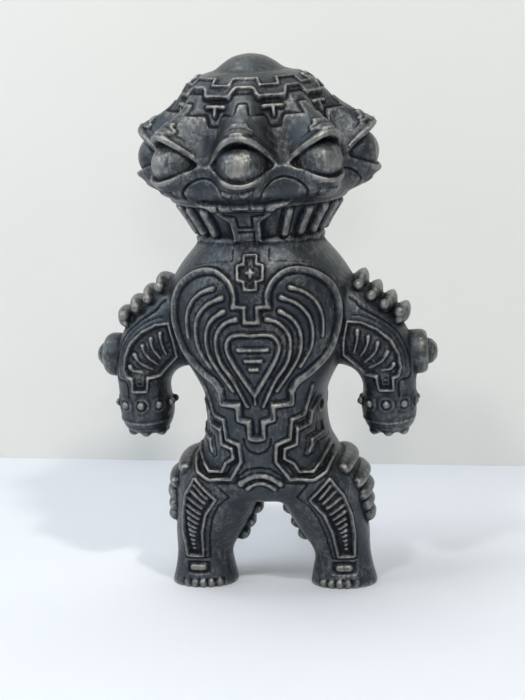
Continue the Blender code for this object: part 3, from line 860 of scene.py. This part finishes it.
def front_relief(relief, rise, recess):
    """The drawing on the front of the body and the limbs."""
    heart = rounded(HEART) + HEART_STEPS[1:]
    heart_edge = heart + mirrored(heart[-2::-1], -1) + mirrored(HEART_DIP[1:-1], -1) + HEART_DIP[-1::-1]
    inner, cross = closed_loop(rounded(INNER_HEART)), closed_loop(CROSS)
    for outline, depth, edge in ((heart_edge, 1.0, 0.5), (inner, 0.4, 0.4), (cross, 0.5, 0.35)):
        relief.field("front", outline, -recess * depth, edge)
    middle = [
        (both_sides(HEART_STEPS), 0.66, 1.05),
        (both_sides(HEART_DIP), 0.6, 1.05),
        (looped(inner), 0.54, 1.0),
        (looped(cross), 0.42, 0.9),
        ([(0, 73.3), (0, 74.9)], 0.5, 0.8),
        ([(-0.8, 74.1), (0.8, 74.1)], 0.4, 0.8),
        ([(0, 47.4), (0, 45.4)], 0.35, 0.8),
        (both_sides(CROTCH_GROOVE), 0.34, -0.4),
        (both_sides(HEART_FOOT), 0.34, -0.4),
    ]
    middle += [([(-half, level), (half, level)], 0.5, 0.9) for level, half in BARS]
    for top, end, half, wide in CROTCH:
        arc = [(half * k / 8, top - (top - end) * (k / 8) ** 2) for k in range(-8, 9)]
        middle.append((arc, wide, 1.0, 0.2, 0.2))
    draw(relief, "front", rise, middle)
    sided = [
        (rounded(HEART), 0.74, 1.15),
        (SIDE_STEPS, 0.48, 0.85),
        (HIP_PLATE, 0.44, 0.8),
        (HIP_CHANNEL, 0.4, -0.45),
        (HOOK, 0.42, 0.7),
        (HOOK_GROOVE, 0.28, -0.35),
        (COLLAR, 0.24, -0.2),
        (HIP_NOTCH, 0.3, -0.4),
        (looped(LEG_PANEL), 0.46, 1.0),
        (looped(FAN), 0.38, 0.9),
        (rounded(FAN_GROOVE), 0.24, -0.3),
        (rounded(ARM_GROOVE), 0.32, -0.45),
        (rounded(HAND_LINE), 0.28, 0.45),
        (shifted(rounded(HAND_LINE[1:-1]), 0.0, -1.3), 0.3, -0.2),
        (FOOT_BAR, 0.95, 1.1),
    ]
    sided += [(rounded(stroke), 0.55, 0.95, 0.14, 0.0, 0.8) for stroke in STROKES]
    sided += [(rounded(stroke), 0.3, 0.9, 0.24, 0.0, 0.85) for stroke in FAN_STROKES]
    for k, (ax, az, bx, bz) in enumerate(LEG_BARS):
        sided.append(([(ax, az), (bx, bz)], 0.46 - 0.011 * k, 0.9, 0.0, 0.08))
    sided += [([(TAB_MIDDLE - 0.3, z), (TAB_MIDDLE + 0.3, z)], 0.3, -0.5) for z in TAB_PITS]
    sided += [([(x, 0.2), (x, 1.7)], 0.4, -0.5) for x in TOE_GAPS]
    for side in SIDES:
        for outline, depth, edge in ((FAN, 1.0, 0.4), (LEG_PANEL, 1.0, 0.4), (FOOT_RECESS, 0.8, 0.3)):
            relief.field("front", mirrored(outline, side), -recess * depth, edge)
        draw(relief, "front", rise, [(mirrored(path, side), *rest) for path, *rest in sided])


def back_relief(relief, rise, recess):
    """Plainer work in keeping on the back."""
    shield = both_sides(rounded(BACK_SHIELD))
    relief.field("back", shield, -recess * 0.8, 0.5)
    drawn = [(shield, 0.66, 1.0), (looped(closed_loop(BACK_SPINE)), 0.44, 0.9)]
    drawn += [(both_sides(rounded(path)), 0.48, 0.9) for path in BACK_HIPS]
    sided = [(looped(FAN), 0.44, 0.9)]
    sided += [(rounded(stroke), 0.44, 0.9, 0.2) for stroke in BACK_STROKES]
    sided += [(rounded(stroke), 0.36, 0.8, 0.2) for stroke in FAN_STROKES[1:4]]
    for side in SIDES:
        relief.field("back", mirrored(FAN, side), -recess * 0.8, 0.4)
        drawn += [(mirrored(path, side), *rest) for path, *rest in sided]
    draw(relief, "back", rise, drawn)


def wrist_relief(relief, side):
    """A sunk seat with a raised ring round it for each bead."""
    for i in range(WRIST_BEADS):
        a = tau * (i + 0.5) / WRIST_BEADS
        out = Vector((side * cos(a), sin(a), 0))
        middle = Vector((side * WRIST[0], WRIST[1], WRIST[2]))
        spot = relief.tree.ray_cast(middle + out * 20, -out)[0]
        for _, k, d in relief.finder.find_range(spot, 2.4):
            relief.raised[k] = max(relief.raised[k], 0.3 * max(0.0, 1 - ((d - 1.5) / 0.3) ** 2))
            relief.cut[k] = max(relief.cut[k], 0.3 * max(0.0, 1 - (d / 1.25) ** 4))


def head_relief(relief, edge_depth):
    """The stepped cap, the marks over and under the eyes, and the neck."""
    rim_low, rim_high = TROUGH[-1][1], CREST[-1][1]
    cap, shell = (mirrored(half[::-1], -1) + half[1:] for half in (CAP_EDGE, SHELL_EDGE))
    drawn = []
    for k in range(EYES):
        turn, tee = EYE_STEP * k, EYE_STEP * (k + 0.5)
        relief.field("round", cap + shell[::-1], -edge_depth, 0.25, turn)
        relief.field("round", BROW_PLATE, 0.42, 0.22, turn)
        drawn += [
            (shifted(cap, turn, 0.2), 0.4, 0.3),
            (shifted(cap, turn, -0.65), 0.4, -0.42),
            (shifted(shell, turn), 0.36, -0.5),
            (shifted(BROW_PLATE, turn), 0.28, -0.42),
            (shifted(TEE_BAR, tee), 0.56, 0.85),
            (shifted(TEE_STEM, tee), 0.72, 0.85, 0.0, 0.0, 0.6),
            (shifted(RING_LINE, turn), 0.38, 0.5),
            (shifted(rounded(CHEEK_DISC), turn), 0.32, -0.55),
        ]
        if k != 0:
            drawn.append((shifted(looped(LIP_PLATE), turn), 0.26, -0.4))
        for side in SIDES:
            lid = [(side * u, rim_low + (rim_high - rim_low) * arched(eye_wave(u / 360))) for u in LID_DEGREES]
            drawn.append((shifted(lid, turn, 0.35), 0.85, 0.36, 0.0, 0.0, 0.2))
            drawn.append((shifted(lid[:8], turn, 1.75), 0.36, -0.25, 0.0, 0.0, 0.5))
    relief.band(*NECK_BAND, -1.25, 0.5)
    relief.field("round", CHIN_PLATE + mirrored(CHIN_PLATE[::-1], -1), 1.3, 0.4, CHIN_TURN)
    chin = [(CHIN_TEE + mirrored(CHIN_TEE[::-1], -1), 0.34, -0.5)]
    chin += [(rounded(CHIN_CURVE), 0.28, -0.45), (NECK_PLUG, 0.3, -0.45)]
    for side in SIDES:
        wing = mirrored(CHIN_WING, side)
        relief.field("round", wing, 0.3, 0.2, CHIN_TURN)
        chin += [(mirrored(CHIN_PLATE[1:], side), 0.4, 0.35), (looped(wing), 0.24, -0.4)]
    drawn += [(shifted(path, CHIN_TURN), *rest) for path, *rest in chin]
    drawn += [([(u, 87.0), (u, 81.8)], 1.05, 1.3) for u in NECK_BARS]
    drawn += [([(u - 3.5, 79.9), (u + 3.5, 79.9)], 0.3, -0.4) for u in NECK_NICKS]
    draw(relief, "round", 1.0, drawn)


# The casting


def nodded(points):
    """The points with the head tipped forward a little; the neck below it stays upright."""
    turn = NOD * smooth_step(np.clip((points[:, 2] / MM - 82.0) / 10.0, 0, 1))
    y, z = points[:, 1], points[:, 2] - NOD_LEVEL * MM
    tipped = (y * np.cos(turn) - z * np.sin(turn), y * np.sin(turn) + z * np.cos(turn) + NOD_LEVEL * MM)
    return np.column_stack((points[:, 0], *tipped))


def nod(obj):
    move_points(obj.data, nodded(points_of(obj.data)))


def forms_in_scene(name):
    found = [obj for obj in bpy.data.objects if obj.name.split(".")[0] == name]
    if not found:
        raise RuntimeError("the " + name + " form is missing")
    return found


class DOGU_OT_body(bpy.types.Operator):
    """Make the torso, arms and legs as one smooth form with its line work"""

    bl_idname = "dogu.body"
    bl_label = "Body with its line work"

    def execute(self, context):
        sizes = context.scene.dogu_sizes
        forms = [torso()] + [make(side) for make in (arm, leg) for side in SIDES]
        spacing = spacing_of(sizes)
        body = one_skin(forms, "body_form", spacing)
        edges = edges_of(body.data)
        points = points_of(body.data)
        fine = (FULL_SPACING / spacing) ** 2
        softened = relax(points, edges, int(26 * fine))
        rounder = relax(softened, edges, int(260 * fine))
        x, z = softened[:, 0] / MM, softened[:, 2] / MM
        crotch = np.clip(1 - np.hypot(x / 9.5, (z - 23.5) / 7.5), 0, 1)[:, None]
        softened = softened + (rounder - softened) * np.clip(crotch * 3, 0, 1)
        sole = np.clip((points[:, 2:] / MM - 0.6) / 2.6, 0, 1)
        move_points(body.data, points + (softened - points) * sole)
        relief = Relief(body)
        front_relief(relief, sizes.line_rise / MM, sizes.recess / MM)
        back_relief(relief, sizes.line_rise / MM, sizes.recess / MM)
        for side in SIDES:
            wrist_relief(relief, side)
        relief.raise_surface()
        return {"FINISHED"}


class DOGU_OT_head(bpy.types.Operator):
    """Make the shell-like head with its stepped cap, lids and neck"""

    bl_idname = "dogu.head"
    bl_label = "Head with its marks"

    def execute(self, context):
        sizes = context.scene.dogu_sizes
        head = one_skin([head_shell(288)], "head_form", spacing_of(sizes))
        move_points(head.data, relax(points_of(head.data), edges_of(head.data), 3))
        relief = Relief(head)
        head_relief(relief, sizes.edge_depth / MM)
        relief.raise_surface()
        nod(head)
        return {"FINISHED"}


class DOGU_OT_eyes(bpy.types.Operator):
    """Make the eight eyeballs round the head"""

    bl_idname = "dogu.eyes"
    bl_label = "Eyes"

    def execute(self, context):
        sizes = context.scene.dogu_sizes
        orbit, level, radius = sizes.eye_orbit / MM, sizes.eye_level / MM, sizes.eye_radius / MM
        for i in range(EYES):
            a = tau * i / EYES
            place = (orbit * sin(a), -orbit * cos(a), level)
            nod(ball("eye_form", place, radius, sizes.eye_half_height / sizes.eye_radius, 64))
        return {"FINISHED"}


class DOGU_OT_limb_trim(bpy.types.Operator):
    """Make the ribs, discs, beads, teeth and toes on the limbs"""

    bl_idname = "dogu.limb_trim"
    bl_label = "Ribs and beads"

    def execute(self, context):
        sizes = context.scene.dogu_sizes
        made = []
        for side in SIDES:
            made.extend(arm_rib(side, rib, sizes.rib_size / MM) for rib in ARM_RIBS)
            made.extend(ball("rib_bead", (side * x, y, z), RIB_BEAD_RADIUS) for x, y, z in RIB_BEADS)
            made.extend(leg_rib(side, rib, sizes.leg_rib_size / MM) for rib in LEG_RIBS)
            made.append(disc(side))
            for i in range(WRIST_BEADS):
                a = tau * (i + 0.5) / WRIST_BEADS
                place = (side * (WRIST[0] + 6.3 * cos(a)), WRIST[1] + 6.6 * sin(a), WRIST[2])
                made.append(ball("bead", place, sizes.bead_radius / MM))
            for i in range(TEETH):
                a = tau * (i + 0.5) / TEETH
                place = (side * (WRIST[0] + 3.7 * cos(a)), -0.6 + 3.6 * sin(a), 36.3)
                made.append(ball("tooth", place, 1.25))
            for i in range(TOES):
                share = i / (TOES - 1) - 0.5
                place = (side * (FOOT_MIDDLE + 7.4 * share), -5.7 + 3.6 * share * share, 1.05)
                made.append(ball("toe", place, sizes.toe_radius / MM, 1.1))
        joined(made, "trim_form")
        return {"FINISHED"}


class DOGU_OT_casting(bpy.types.Operator):
    """Join the forms into one casting and give it its metal"""

    bl_idname = "dogu.casting"
    bl_label = "Whole casting"

    def execute(self, context):
        sizes = context.scene.dogu_sizes
        spacing = spacing_of(sizes)
        forms = []
        for name in ("body_form", "head_form", "eye_form", "trim_form"):
            forms.extend(forms_in_scene(name))
        casting = one_skin(forms, "dogu_casting", spacing)
        points = points_of(casting.data)
        edges = edges_of(casting.data)
        points = relax(points, edges, 1)
        move_points(casting.data, points)
        fine, broad = surface_marks(casting.data, points, edges, spacing)
        small = (broad > 1.3) & (points[:, 2] < 80 * MM)
        broad[small] = 1.3 - (broad[small] - 1.3) * 1.1
        # Painted highlight: the middle of each eye is marked brighter, its rim darker
        polish_and_highlight_eyes(broad, points, sizes)
        fewer = casting.modifiers.new("fewer", "DECIMATE")
        fewer.ratio = min(1.0, sizes.triangles / (2 * len(casting.data.polygons)))
        apply_modifiers(casting)
        keep_largest(casting)
        settle(casting)
        carry_marks(casting.data, points, {"raised": fine, "broad": broad})
        casting.data.name = "dogu_casting"
        if len(casting.data.polygons) > MOST_TRIANGLES:
            raise RuntimeError("the casting has too many faces")
        casting.data.materials.clear()
        casting.data.materials.append(rubbed_metal(context.scene.dogu_metal))
        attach(casting, "root")
        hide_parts("dogu_figure")
        return {"FINISHED"}


def polish_and_highlight_eyes(broad, points, sizes):
    """The middle of each eye, facing straight out, is marked as the most rubbed and its rim a little less: partly
    wear, partly a painted highlight on the middle and painted shade round the rim.
    """
    for k in range(EYES):
        a = tau * k / EYES
        middle = nodded(np.array([[sizes.eye_orbit * sin(a), -sizes.eye_orbit * cos(a), sizes.eye_level]]))
        spread = (points - middle) / (1, 1, sizes.eye_half_height / sizes.eye_radius)
        away = np.maximum(np.linalg.norm(spread, axis=1), 1e-6)
        facing = np.clip((spread @ (sin(a), -cos(a), 0.0)) / away, 0, 1)
        on_eye = away < sizes.eye_radius + 0.12 * MM
        # Painted highlight on each eye's middle and painted shade on its rim, carried into the rubbed colour
        broad[on_eye] += 1.5 * facing[on_eye] ** 6 - 0.15


def surface_marks(mesh, points, edges, spacing):
    """How far each point stands over its surroundings, close by and further off, from -3 to 3."""
    normals = normals_of(mesh)
    steps = (FULL_SPACING / spacing) ** 2
    near = relax(points, edges, max(2, int(10 * steps)))
    wide = relax(near, edges, max(4, int(70 * steps)))
    fine = ((points - near) * normals).sum(1) / (CLOSE_UNIT * MM)
    broad = ((near - wide) * normals).sum(1) / (BROAD_UNIT * MM)
    return np.clip(fine, -3, 3), np.clip(broad, -3, 3)


def keep_largest(obj):
    """Delete the tiny closed skins that the remesh leaves in the narrowest gaps."""
    shape = bmesh.new()
    shape.from_mesh(obj.data)
    left, islands = set(shape.verts), []
    while left:
        island, waiting = [], [left.pop()]
        while waiting:
            vert = waiting.pop()
            island.append(vert)
            for edge in vert.link_edges:
                other = edge.other_vert(vert)
                if other in left:
                    left.remove(other)
                    waiting.append(other)
        islands.append(island)
    islands.sort(key=len)
    stray = [vert for island in islands[:-1] for vert in island]
    bmesh.ops.delete(shape, geom=stray, context="VERTS")
    shape.to_mesh(obj.data)
    shape.free()


def settle(obj):
    """Triangles only, smooth, standing flat on the ground."""
    shape = bmesh.new()
    shape.from_mesh(obj.data)
    bmesh.ops.triangulate(shape, faces=shape.faces)
    for vert in shape.verts:
        if vert.co.z < 0.12 * MM:
            vert.co.z = 0.0
        vert.co.z = min(vert.co.z, HEIGHT * MM)
    for face in shape.faces:
        face.smooth = True
    bmesh.ops.recalc_face_normals(shape, faces=shape.faces)
    shape.to_mesh(obj.data)
    shape.free()


def carry_marks(mesh, points, marks):
    """Store the marks of the dense skin on the nearest points of the finished mesh."""
    finder = finder_of(points)
    nearest = np.array([finder.find(p)[1] for p in points_of(mesh).tolist()])
    for name, values in marks.items():
        layer = mesh.attributes.new(name, "FLOAT", "POINT")
        layer.data.foreach_set("value", values[nearest].astype(np.float32))


# Metal


def add_node(tree, kind, place, **settings):
    node = tree.nodes.new(kind)
    node.location = place
    for name, value in settings.items():
        setattr(node, name, value)
    return node


def cast_grain():
    """Group: pitting and brushed patches of old cast metal, as a height and as masks."""
    group = bpy.data.node_groups.new("cast_grain", "ShaderNodeTree")
    group.interface.new_socket("Grain Size", in_out="INPUT", socket_type="NodeSocketFloat").default_value = 1.0
    for name in ("Height", "Speckle", "Patches", "Cloud"):
        group.interface.new_socket(name, in_out="OUTPUT", socket_type="NodeSocketFloat")
    start = add_node(group, "NodeGroupInput", (-1100, 0))
    end = add_node(group, "NodeGroupOutput", (500, 0))
    place = add_node(group, "ShaderNodeTexCoord", (-1100, 200))
    size = add_node(group, "ShaderNodeVectorMath", (-900, 100), operation="SCALE")
    group.links.new(place.outputs["Object"], size.inputs[0])
    group.links.new(start.outputs["Grain Size"], size.inputs["Scale"])
    drawn_out = add_node(group, "ShaderNodeVectorMath", (-700, -450), operation="MULTIPLY")
    drawn_out.inputs[1].default_value = (1.0, 1.0, 0.3)
    group.links.new(size.outputs["Vector"], drawn_out.inputs[0])
    noises = []
    for source, scale, detail, rough, y in (
        (size, 2700.0, 4.0, 0.65, 250), (size, 950.0, 4.0, 0.6, 0), (size, 150.0, 4.0, 0.6, -250),
        (drawn_out, 1300.0, 3.0, 0.6, -500),
    ):
        noise = add_node(group, "ShaderNodeTexNoise", (-450, y))
        noise.inputs["Scale"].default_value = scale
        noise.inputs["Detail"].default_value = detail
        noise.inputs["Roughness"].default_value = rough
        group.links.new(source.outputs["Vector"], noise.inputs["Vector"])
        noises.append(noise.outputs["Fac"])
    fine, coarse, cloud, streak = noises
    blend = math_node(group, (-100, 0), "MULTIPLY_ADD", streak, 0.9, coarse)
    for name, value in (
        ("Height", math_node(group, (-100, 300), "MULTIPLY_ADD", fine, 0.5, coarse)),
        ("Speckle", ramp(group, (-100, -200), fine, 0.46, 0.64)),
        ("Patches", ramp(group, (100, 0), blend, 0.84, 1.12)),
        ("Cloud", cloud),
    ):
        group.links.new(value, end.inputs[name])
    return group


def ramp(tree, place, value, low, high):
    """A smooth step of the value: 0 at low and 1 at high."""
    node = add_node(tree, "ShaderNodeMapRange", place, interpolation_type="SMOOTHSTEP")
    tree.links.new(value, node.inputs["Value"])
    node.inputs["From Min"].default_value = low
    node.inputs["From Max"].default_value = high
    return node.outputs["Result"]


def math_node(tree, place, operation, *values, clamp=False):
    node = add_node(tree, "ShaderNodeMath", place, operation=operation, use_clamp=clamp)
    for socket, value in zip(node.inputs, values):
        if isinstance(value, float):
            socket.default_value = value
        else:
            tree.links.new(value, socket)
    return node.outputs[0]


def mix_colours(tree, place, share, first, second):
    node = add_node(tree, "ShaderNodeMix", place, data_type="RGBA")
    tree.links.new(share, node.inputs["Factor"])
    for socket, value in ((node.inputs[6], first), (node.inputs[7], second)):
        if hasattr(value, "node"):
            tree.links.new(value, socket)
        else:
            socket.default_value = value
    return node.outputs[2]


def rubbed_metal(finish):
    """Blackened cast metal, rubbed bright where it stands proud; the hollows are darkened in the colour, partly
    blackening and partly painted shade, and each eye's middle carries a painted highlight.
    """
    metal = bpy.data.materials.new("dark_cast_metal_finish")
    metal.use_nodes = True
    tree = metal.node_tree
    shader = tree.nodes["Principled BSDF"]
    raised = add_node(tree, "ShaderNodeAttribute", (-1400, 300), attribute_name="raised").outputs["Fac"]
    broad = add_node(tree, "ShaderNodeAttribute", (-1400, 100), attribute_name="broad").outputs["Fac"]
    grain = add_node(tree, "ShaderNodeGroup", (-1400, -150), node_tree=cast_grain())
    grain.inputs["Grain Size"].default_value = 1.0
    height, speckle, patches, cloud = (grain.outputs[name] for name in ("Height", "Speckle", "Patches", "Cloud"))
    close_by = math_node(tree, (-1150, 250), "MULTIPLY", raised, 0.5)
    stands = math_node(tree, (-1000, 250), "MULTIPLY_ADD", broad, 0.8, close_by)
    # Painted shade: the colour darkens in creases and recesses, partly as real blackening left there
    sunk = math_node(tree, (-1000, 50), "MULTIPLY_ADD", broad, 0.4, raised)
    hollow_black_and_shade = ramp(tree, (-750, 100), sunk, 0.15, -0.85)
    handled = ramp(tree, (-750, 300), stands, 0.0, 1.3)
    ridge = ramp(tree, (-750, 500), math_node(tree, (-900, 500), "MULTIPLY_ADD", patches, 0.55, stands), 0.7, 1.9)
    clouded = ramp(tree, (-1150, -300), cloud, 0.36, 0.64)
    patchy = math_node(tree, (-950, -200), "MULTIPLY", patches, clouded)
    patchy_part = math_node(tree, (-750, -100), "MULTIPLY", patchy, 0.55)
    thin = math_node(tree, (-600, 250), "MULTIPLY_ADD", handled, 0.5, patchy_part, clamp=True)
    dust = math_node(tree, (-750, -250), "MULTIPLY", patchy, speckle)
    dust_part = math_node(tree, (-600, -250), "MULTIPLY", dust, 0.3)
    rub = math_node(tree, (-500, 400), "MULTIPLY_ADD", ridge, finish.rub, dust_part, clamp=True)
    flats = mix_colours(tree, (-450, 150), thin, finish.dark, finish.worn)
    base = mix_colours(tree, (-300, 0), hollow_black_and_shade, flats, finish.hollow_black_and_shade)
    tree.links.new(mix_colours(tree, (-150, 100), rub, base, finish.rubbed), shader.inputs["Base Color"])
    shader.inputs["Metallic"].default_value = 0.85
    rough = math_node(tree, (-700, -450), "MULTIPLY_ADD", speckle, 0.14, 0.29)
    rough = math_node(tree, (-500, -400), "MULTIPLY_ADD", hollow_black_and_shade, 0.25, rough)
    rough = math_node(tree, (-350, -400), "MULTIPLY_ADD", rub, 0.12, rough)
    tree.links.new(rough, shader.inputs["Roughness"])
    bump = add_node(tree, "ShaderNodeBump", (-300, -300))
    bump.inputs["Strength"].default_value = 0.8
    bump.inputs["Distance"].default_value = 0.0002
    tree.links.new(height, bump.inputs["Height"])
    tree.links.new(bump.outputs["Normal"], shader.inputs["Normal"])
    return metal


# Studio


def paper(name, colour):
    """Matt paper that is seen from its front only, so the wall doesn't hide the figure's back."""
    sheet = bpy.data.materials.new(name)
    sheet.use_nodes = True
    tree = sheet.node_tree
    shader = tree.nodes["Principled BSDF"]
    place = add_node(tree, "ShaderNodeTexCoord", (-800, 0))
    cloud = add_node(tree, "ShaderNodeTexNoise", (-600, 0))
    cloud.inputs["Scale"].default_value = 30.0
    cloud.inputs["Detail"].default_value = 5.0
    tree.links.new(place.outputs["Object"], cloud.inputs["Vector"])
    darker = tuple(c * 0.965 for c in colour[:3]) + (1.0,)
    tree.links.new(mix_colours(tree, (-300, 0), cloud.outputs["Fac"], colour, darker), shader.inputs["Base Color"])
    shader.inputs["Roughness"].default_value = 0.75
    clear = add_node(tree, "ShaderNodeBsdfTransparent", (0, -300))
    side = add_node(tree, "ShaderNodeNewGeometry", (0, 300))
    seen = add_node(tree, "ShaderNodeMixShader", (300, 0))
    tree.links.new(side.outputs["Backfacing"], seen.inputs["Fac"])
    tree.links.new(shader.outputs["BSDF"], seen.inputs[1])
    tree.links.new(clear.outputs["BSDF"], seen.inputs[2])
    tree.links.new(seen.outputs["Shader"], tree.nodes["Material Output"].inputs["Surface"])
    return sheet


def panel_of_paper(name, width, depth, behind, turn, material):
    """A flat sheet turned about the figure's axis: a floor, or a wall where its distance behind is given."""
    shape = bmesh.new()
    bmesh.ops.create_grid(shape, x_segments=1, y_segments=1, size=0.5)
    bmesh.ops.scale(shape, verts=shape.verts, vec=(width, depth, 1))
    if behind is not None:
        bmesh.ops.rotate(shape, verts=shape.verts, matrix=Matrix.Rotation(radians(90), 3, "X"))
        bmesh.ops.translate(shape, verts=shape.verts, vec=(0, behind, depth / 2 - 0.002))
    bmesh.ops.rotate(shape, verts=shape.verts, matrix=Matrix.Rotation(turn, 3, "Z"))
    obj = add_object(shape, name)
    obj.data.materials.append(material)


def soft_light(name, place, aim, width, power, colour):
    light = bpy.data.lights.new(name, "AREA")
    light.shape = "RECTANGLE"
    light.size = width
    light.size_y = width * 0.8
    light.energy = power
    light.color = colour
    obj = bpy.data.objects.new(name, light)
    obj.location = place
    obj.rotation_euler = (Vector(aim) - Vector(place)).to_track_quat("-Z", "Y").to_euler()
    bpy.context.scene.collection.objects.link(obj)


class DOGU_OT_studio(bpy.types.Operator):
    """Put up the floor, the wall, the lights and the camera"""

    bl_idname = "dogu.studio"
    bl_label = "Studio"

    def execute(self, context):
        studio = context.scene.dogu_studio
        floor, wall = paper("studio_floor_paper", studio.floor), paper("studio_wall_paper", studio.paint)
        panel_of_paper("studio_floor", 3.0, 3.0, None, studio.azimuth, floor)
        panel_of_paper("studio_wall", 3.0, 1.6, studio.wall, studio.azimuth - radians(12.7), wall)
        turn = Matrix.Rotation(studio.azimuth, 3, "Z")
        lights = (
            ("window", (-0.52, -0.10, 0.34), 0.36, 1.4, (0.86, 0.93, 1.0)),
            ("left_lamp", (-0.20, -0.38, 0.55), 0.06, 1.0, (1.0, 0.95, 0.87)),
            ("right_lamp", (0.18, -0.40, 0.55), 0.05, 1.85, (1.0, 0.95, 0.87)),
            ("front_lamp", (0.01, -0.50, 0.22), 0.05, 0.28, (1.0, 0.99, 0.97)),
            ("ceiling", (-0.14, -0.02, 0.66), 0.30, 1.5, (1.0, 0.98, 0.95)),
        )
        for name, place, width, power, colour in lights:
            soft_light(name, turn @ Vector(place), (0, 0, 0.05), width, power, colour)
        world = bpy.data.worlds.new("studio_room")
        context.scene.world = world
        world.use_nodes = True
        room = world.node_tree.nodes["Background"]
        room.inputs["Color"].default_value = (0.74, 0.87, 1.0, 1.0)
        room.inputs["Strength"].default_value = 0.22
        camera = bpy.data.cameras.new("studio_camera")
        camera.lens = studio.lens
        camera.sensor_width = 36.0
        camera.clip_start = 0.01
        obj = bpy.data.objects.new("studio_camera", camera)
        context.scene.collection.objects.link(obj)
        right = Vector((cos(studio.azimuth), sin(studio.azimuth), 0))
        level = Vector((-sin(studio.azimuth), cos(studio.azimuth), 0))
        up = Vector((0, 0, 1))
        ahead = level * cos(studio.pitch) - up * sin(studio.pitch)
        over = level * sin(studio.pitch) + up * cos(studio.pitch)
        side = right * cos(studio.roll) - over * sin(studio.roll)
        top = right * sin(studio.roll) + over * cos(studio.roll)
        place = level * -studio.distance + right * studio.aside + up * studio.height
        turned = Matrix((side, top, -ahead)).transposed().to_4x4()
        obj.matrix_world = Matrix.Translation(place) @ turned
        context.scene.camera = obj
        context.scene.view_settings.view_transform = "Standard"
        return {"FINISHED"}


class DOGU_PT_panel(bpy.types.Panel):
    """Sizes, colours and pieces of the figure"""

    bl_label = "Dogu figure"
    bl_idname = "DOGU_PT_panel"
    bl_space_type = "VIEW_3D"
    bl_region_type = "UI"
    bl_category = "Dogu"

    def draw(self, context):
        scene = context.scene
        for group in (scene.dogu_sizes, scene.dogu_metal, scene.dogu_studio):
            box = self.layout.box()
            for name in group.__annotations__:
                box.prop(group, name)
        for operator in OPERATORS:
            self.layout.operator(operator.bl_idname)


GROUPS = (CastingSizes, MetalFinish, StudioSizes)
OPERATORS = (DOGU_OT_body, DOGU_OT_head, DOGU_OT_eyes, DOGU_OT_limb_trim, DOGU_OT_casting, DOGU_OT_studio)


def register():
    for kind in GROUPS + OPERATORS + (DOGU_PT_panel,):
        bpy.utils.register_class(kind)
    bpy.types.Scene.dogu_sizes = bpy.props.PointerProperty(type=CastingSizes)
    bpy.types.Scene.dogu_metal = bpy.props.PointerProperty(type=MetalFinish)
    bpy.types.Scene.dogu_studio = bpy.props.PointerProperty(type=StudioSizes)


def unregister():
    del bpy.types.Scene.dogu_studio
    del bpy.types.Scene.dogu_metal
    del bpy.types.Scene.dogu_sizes
    for kind in reversed(GROUPS + OPERATORS + (DOGU_PT_panel,)):
        bpy.utils.unregister_class(kind)


def main():
    register()
    bpy.ops.dogu.body()
    bpy.ops.dogu.head()
    bpy.ops.dogu.eyes()
    bpy.ops.dogu.limb_trim()
    bpy.ops.dogu.casting()
    bpy.ops.dogu.studio()


if __name__ == "__main__":
    main()
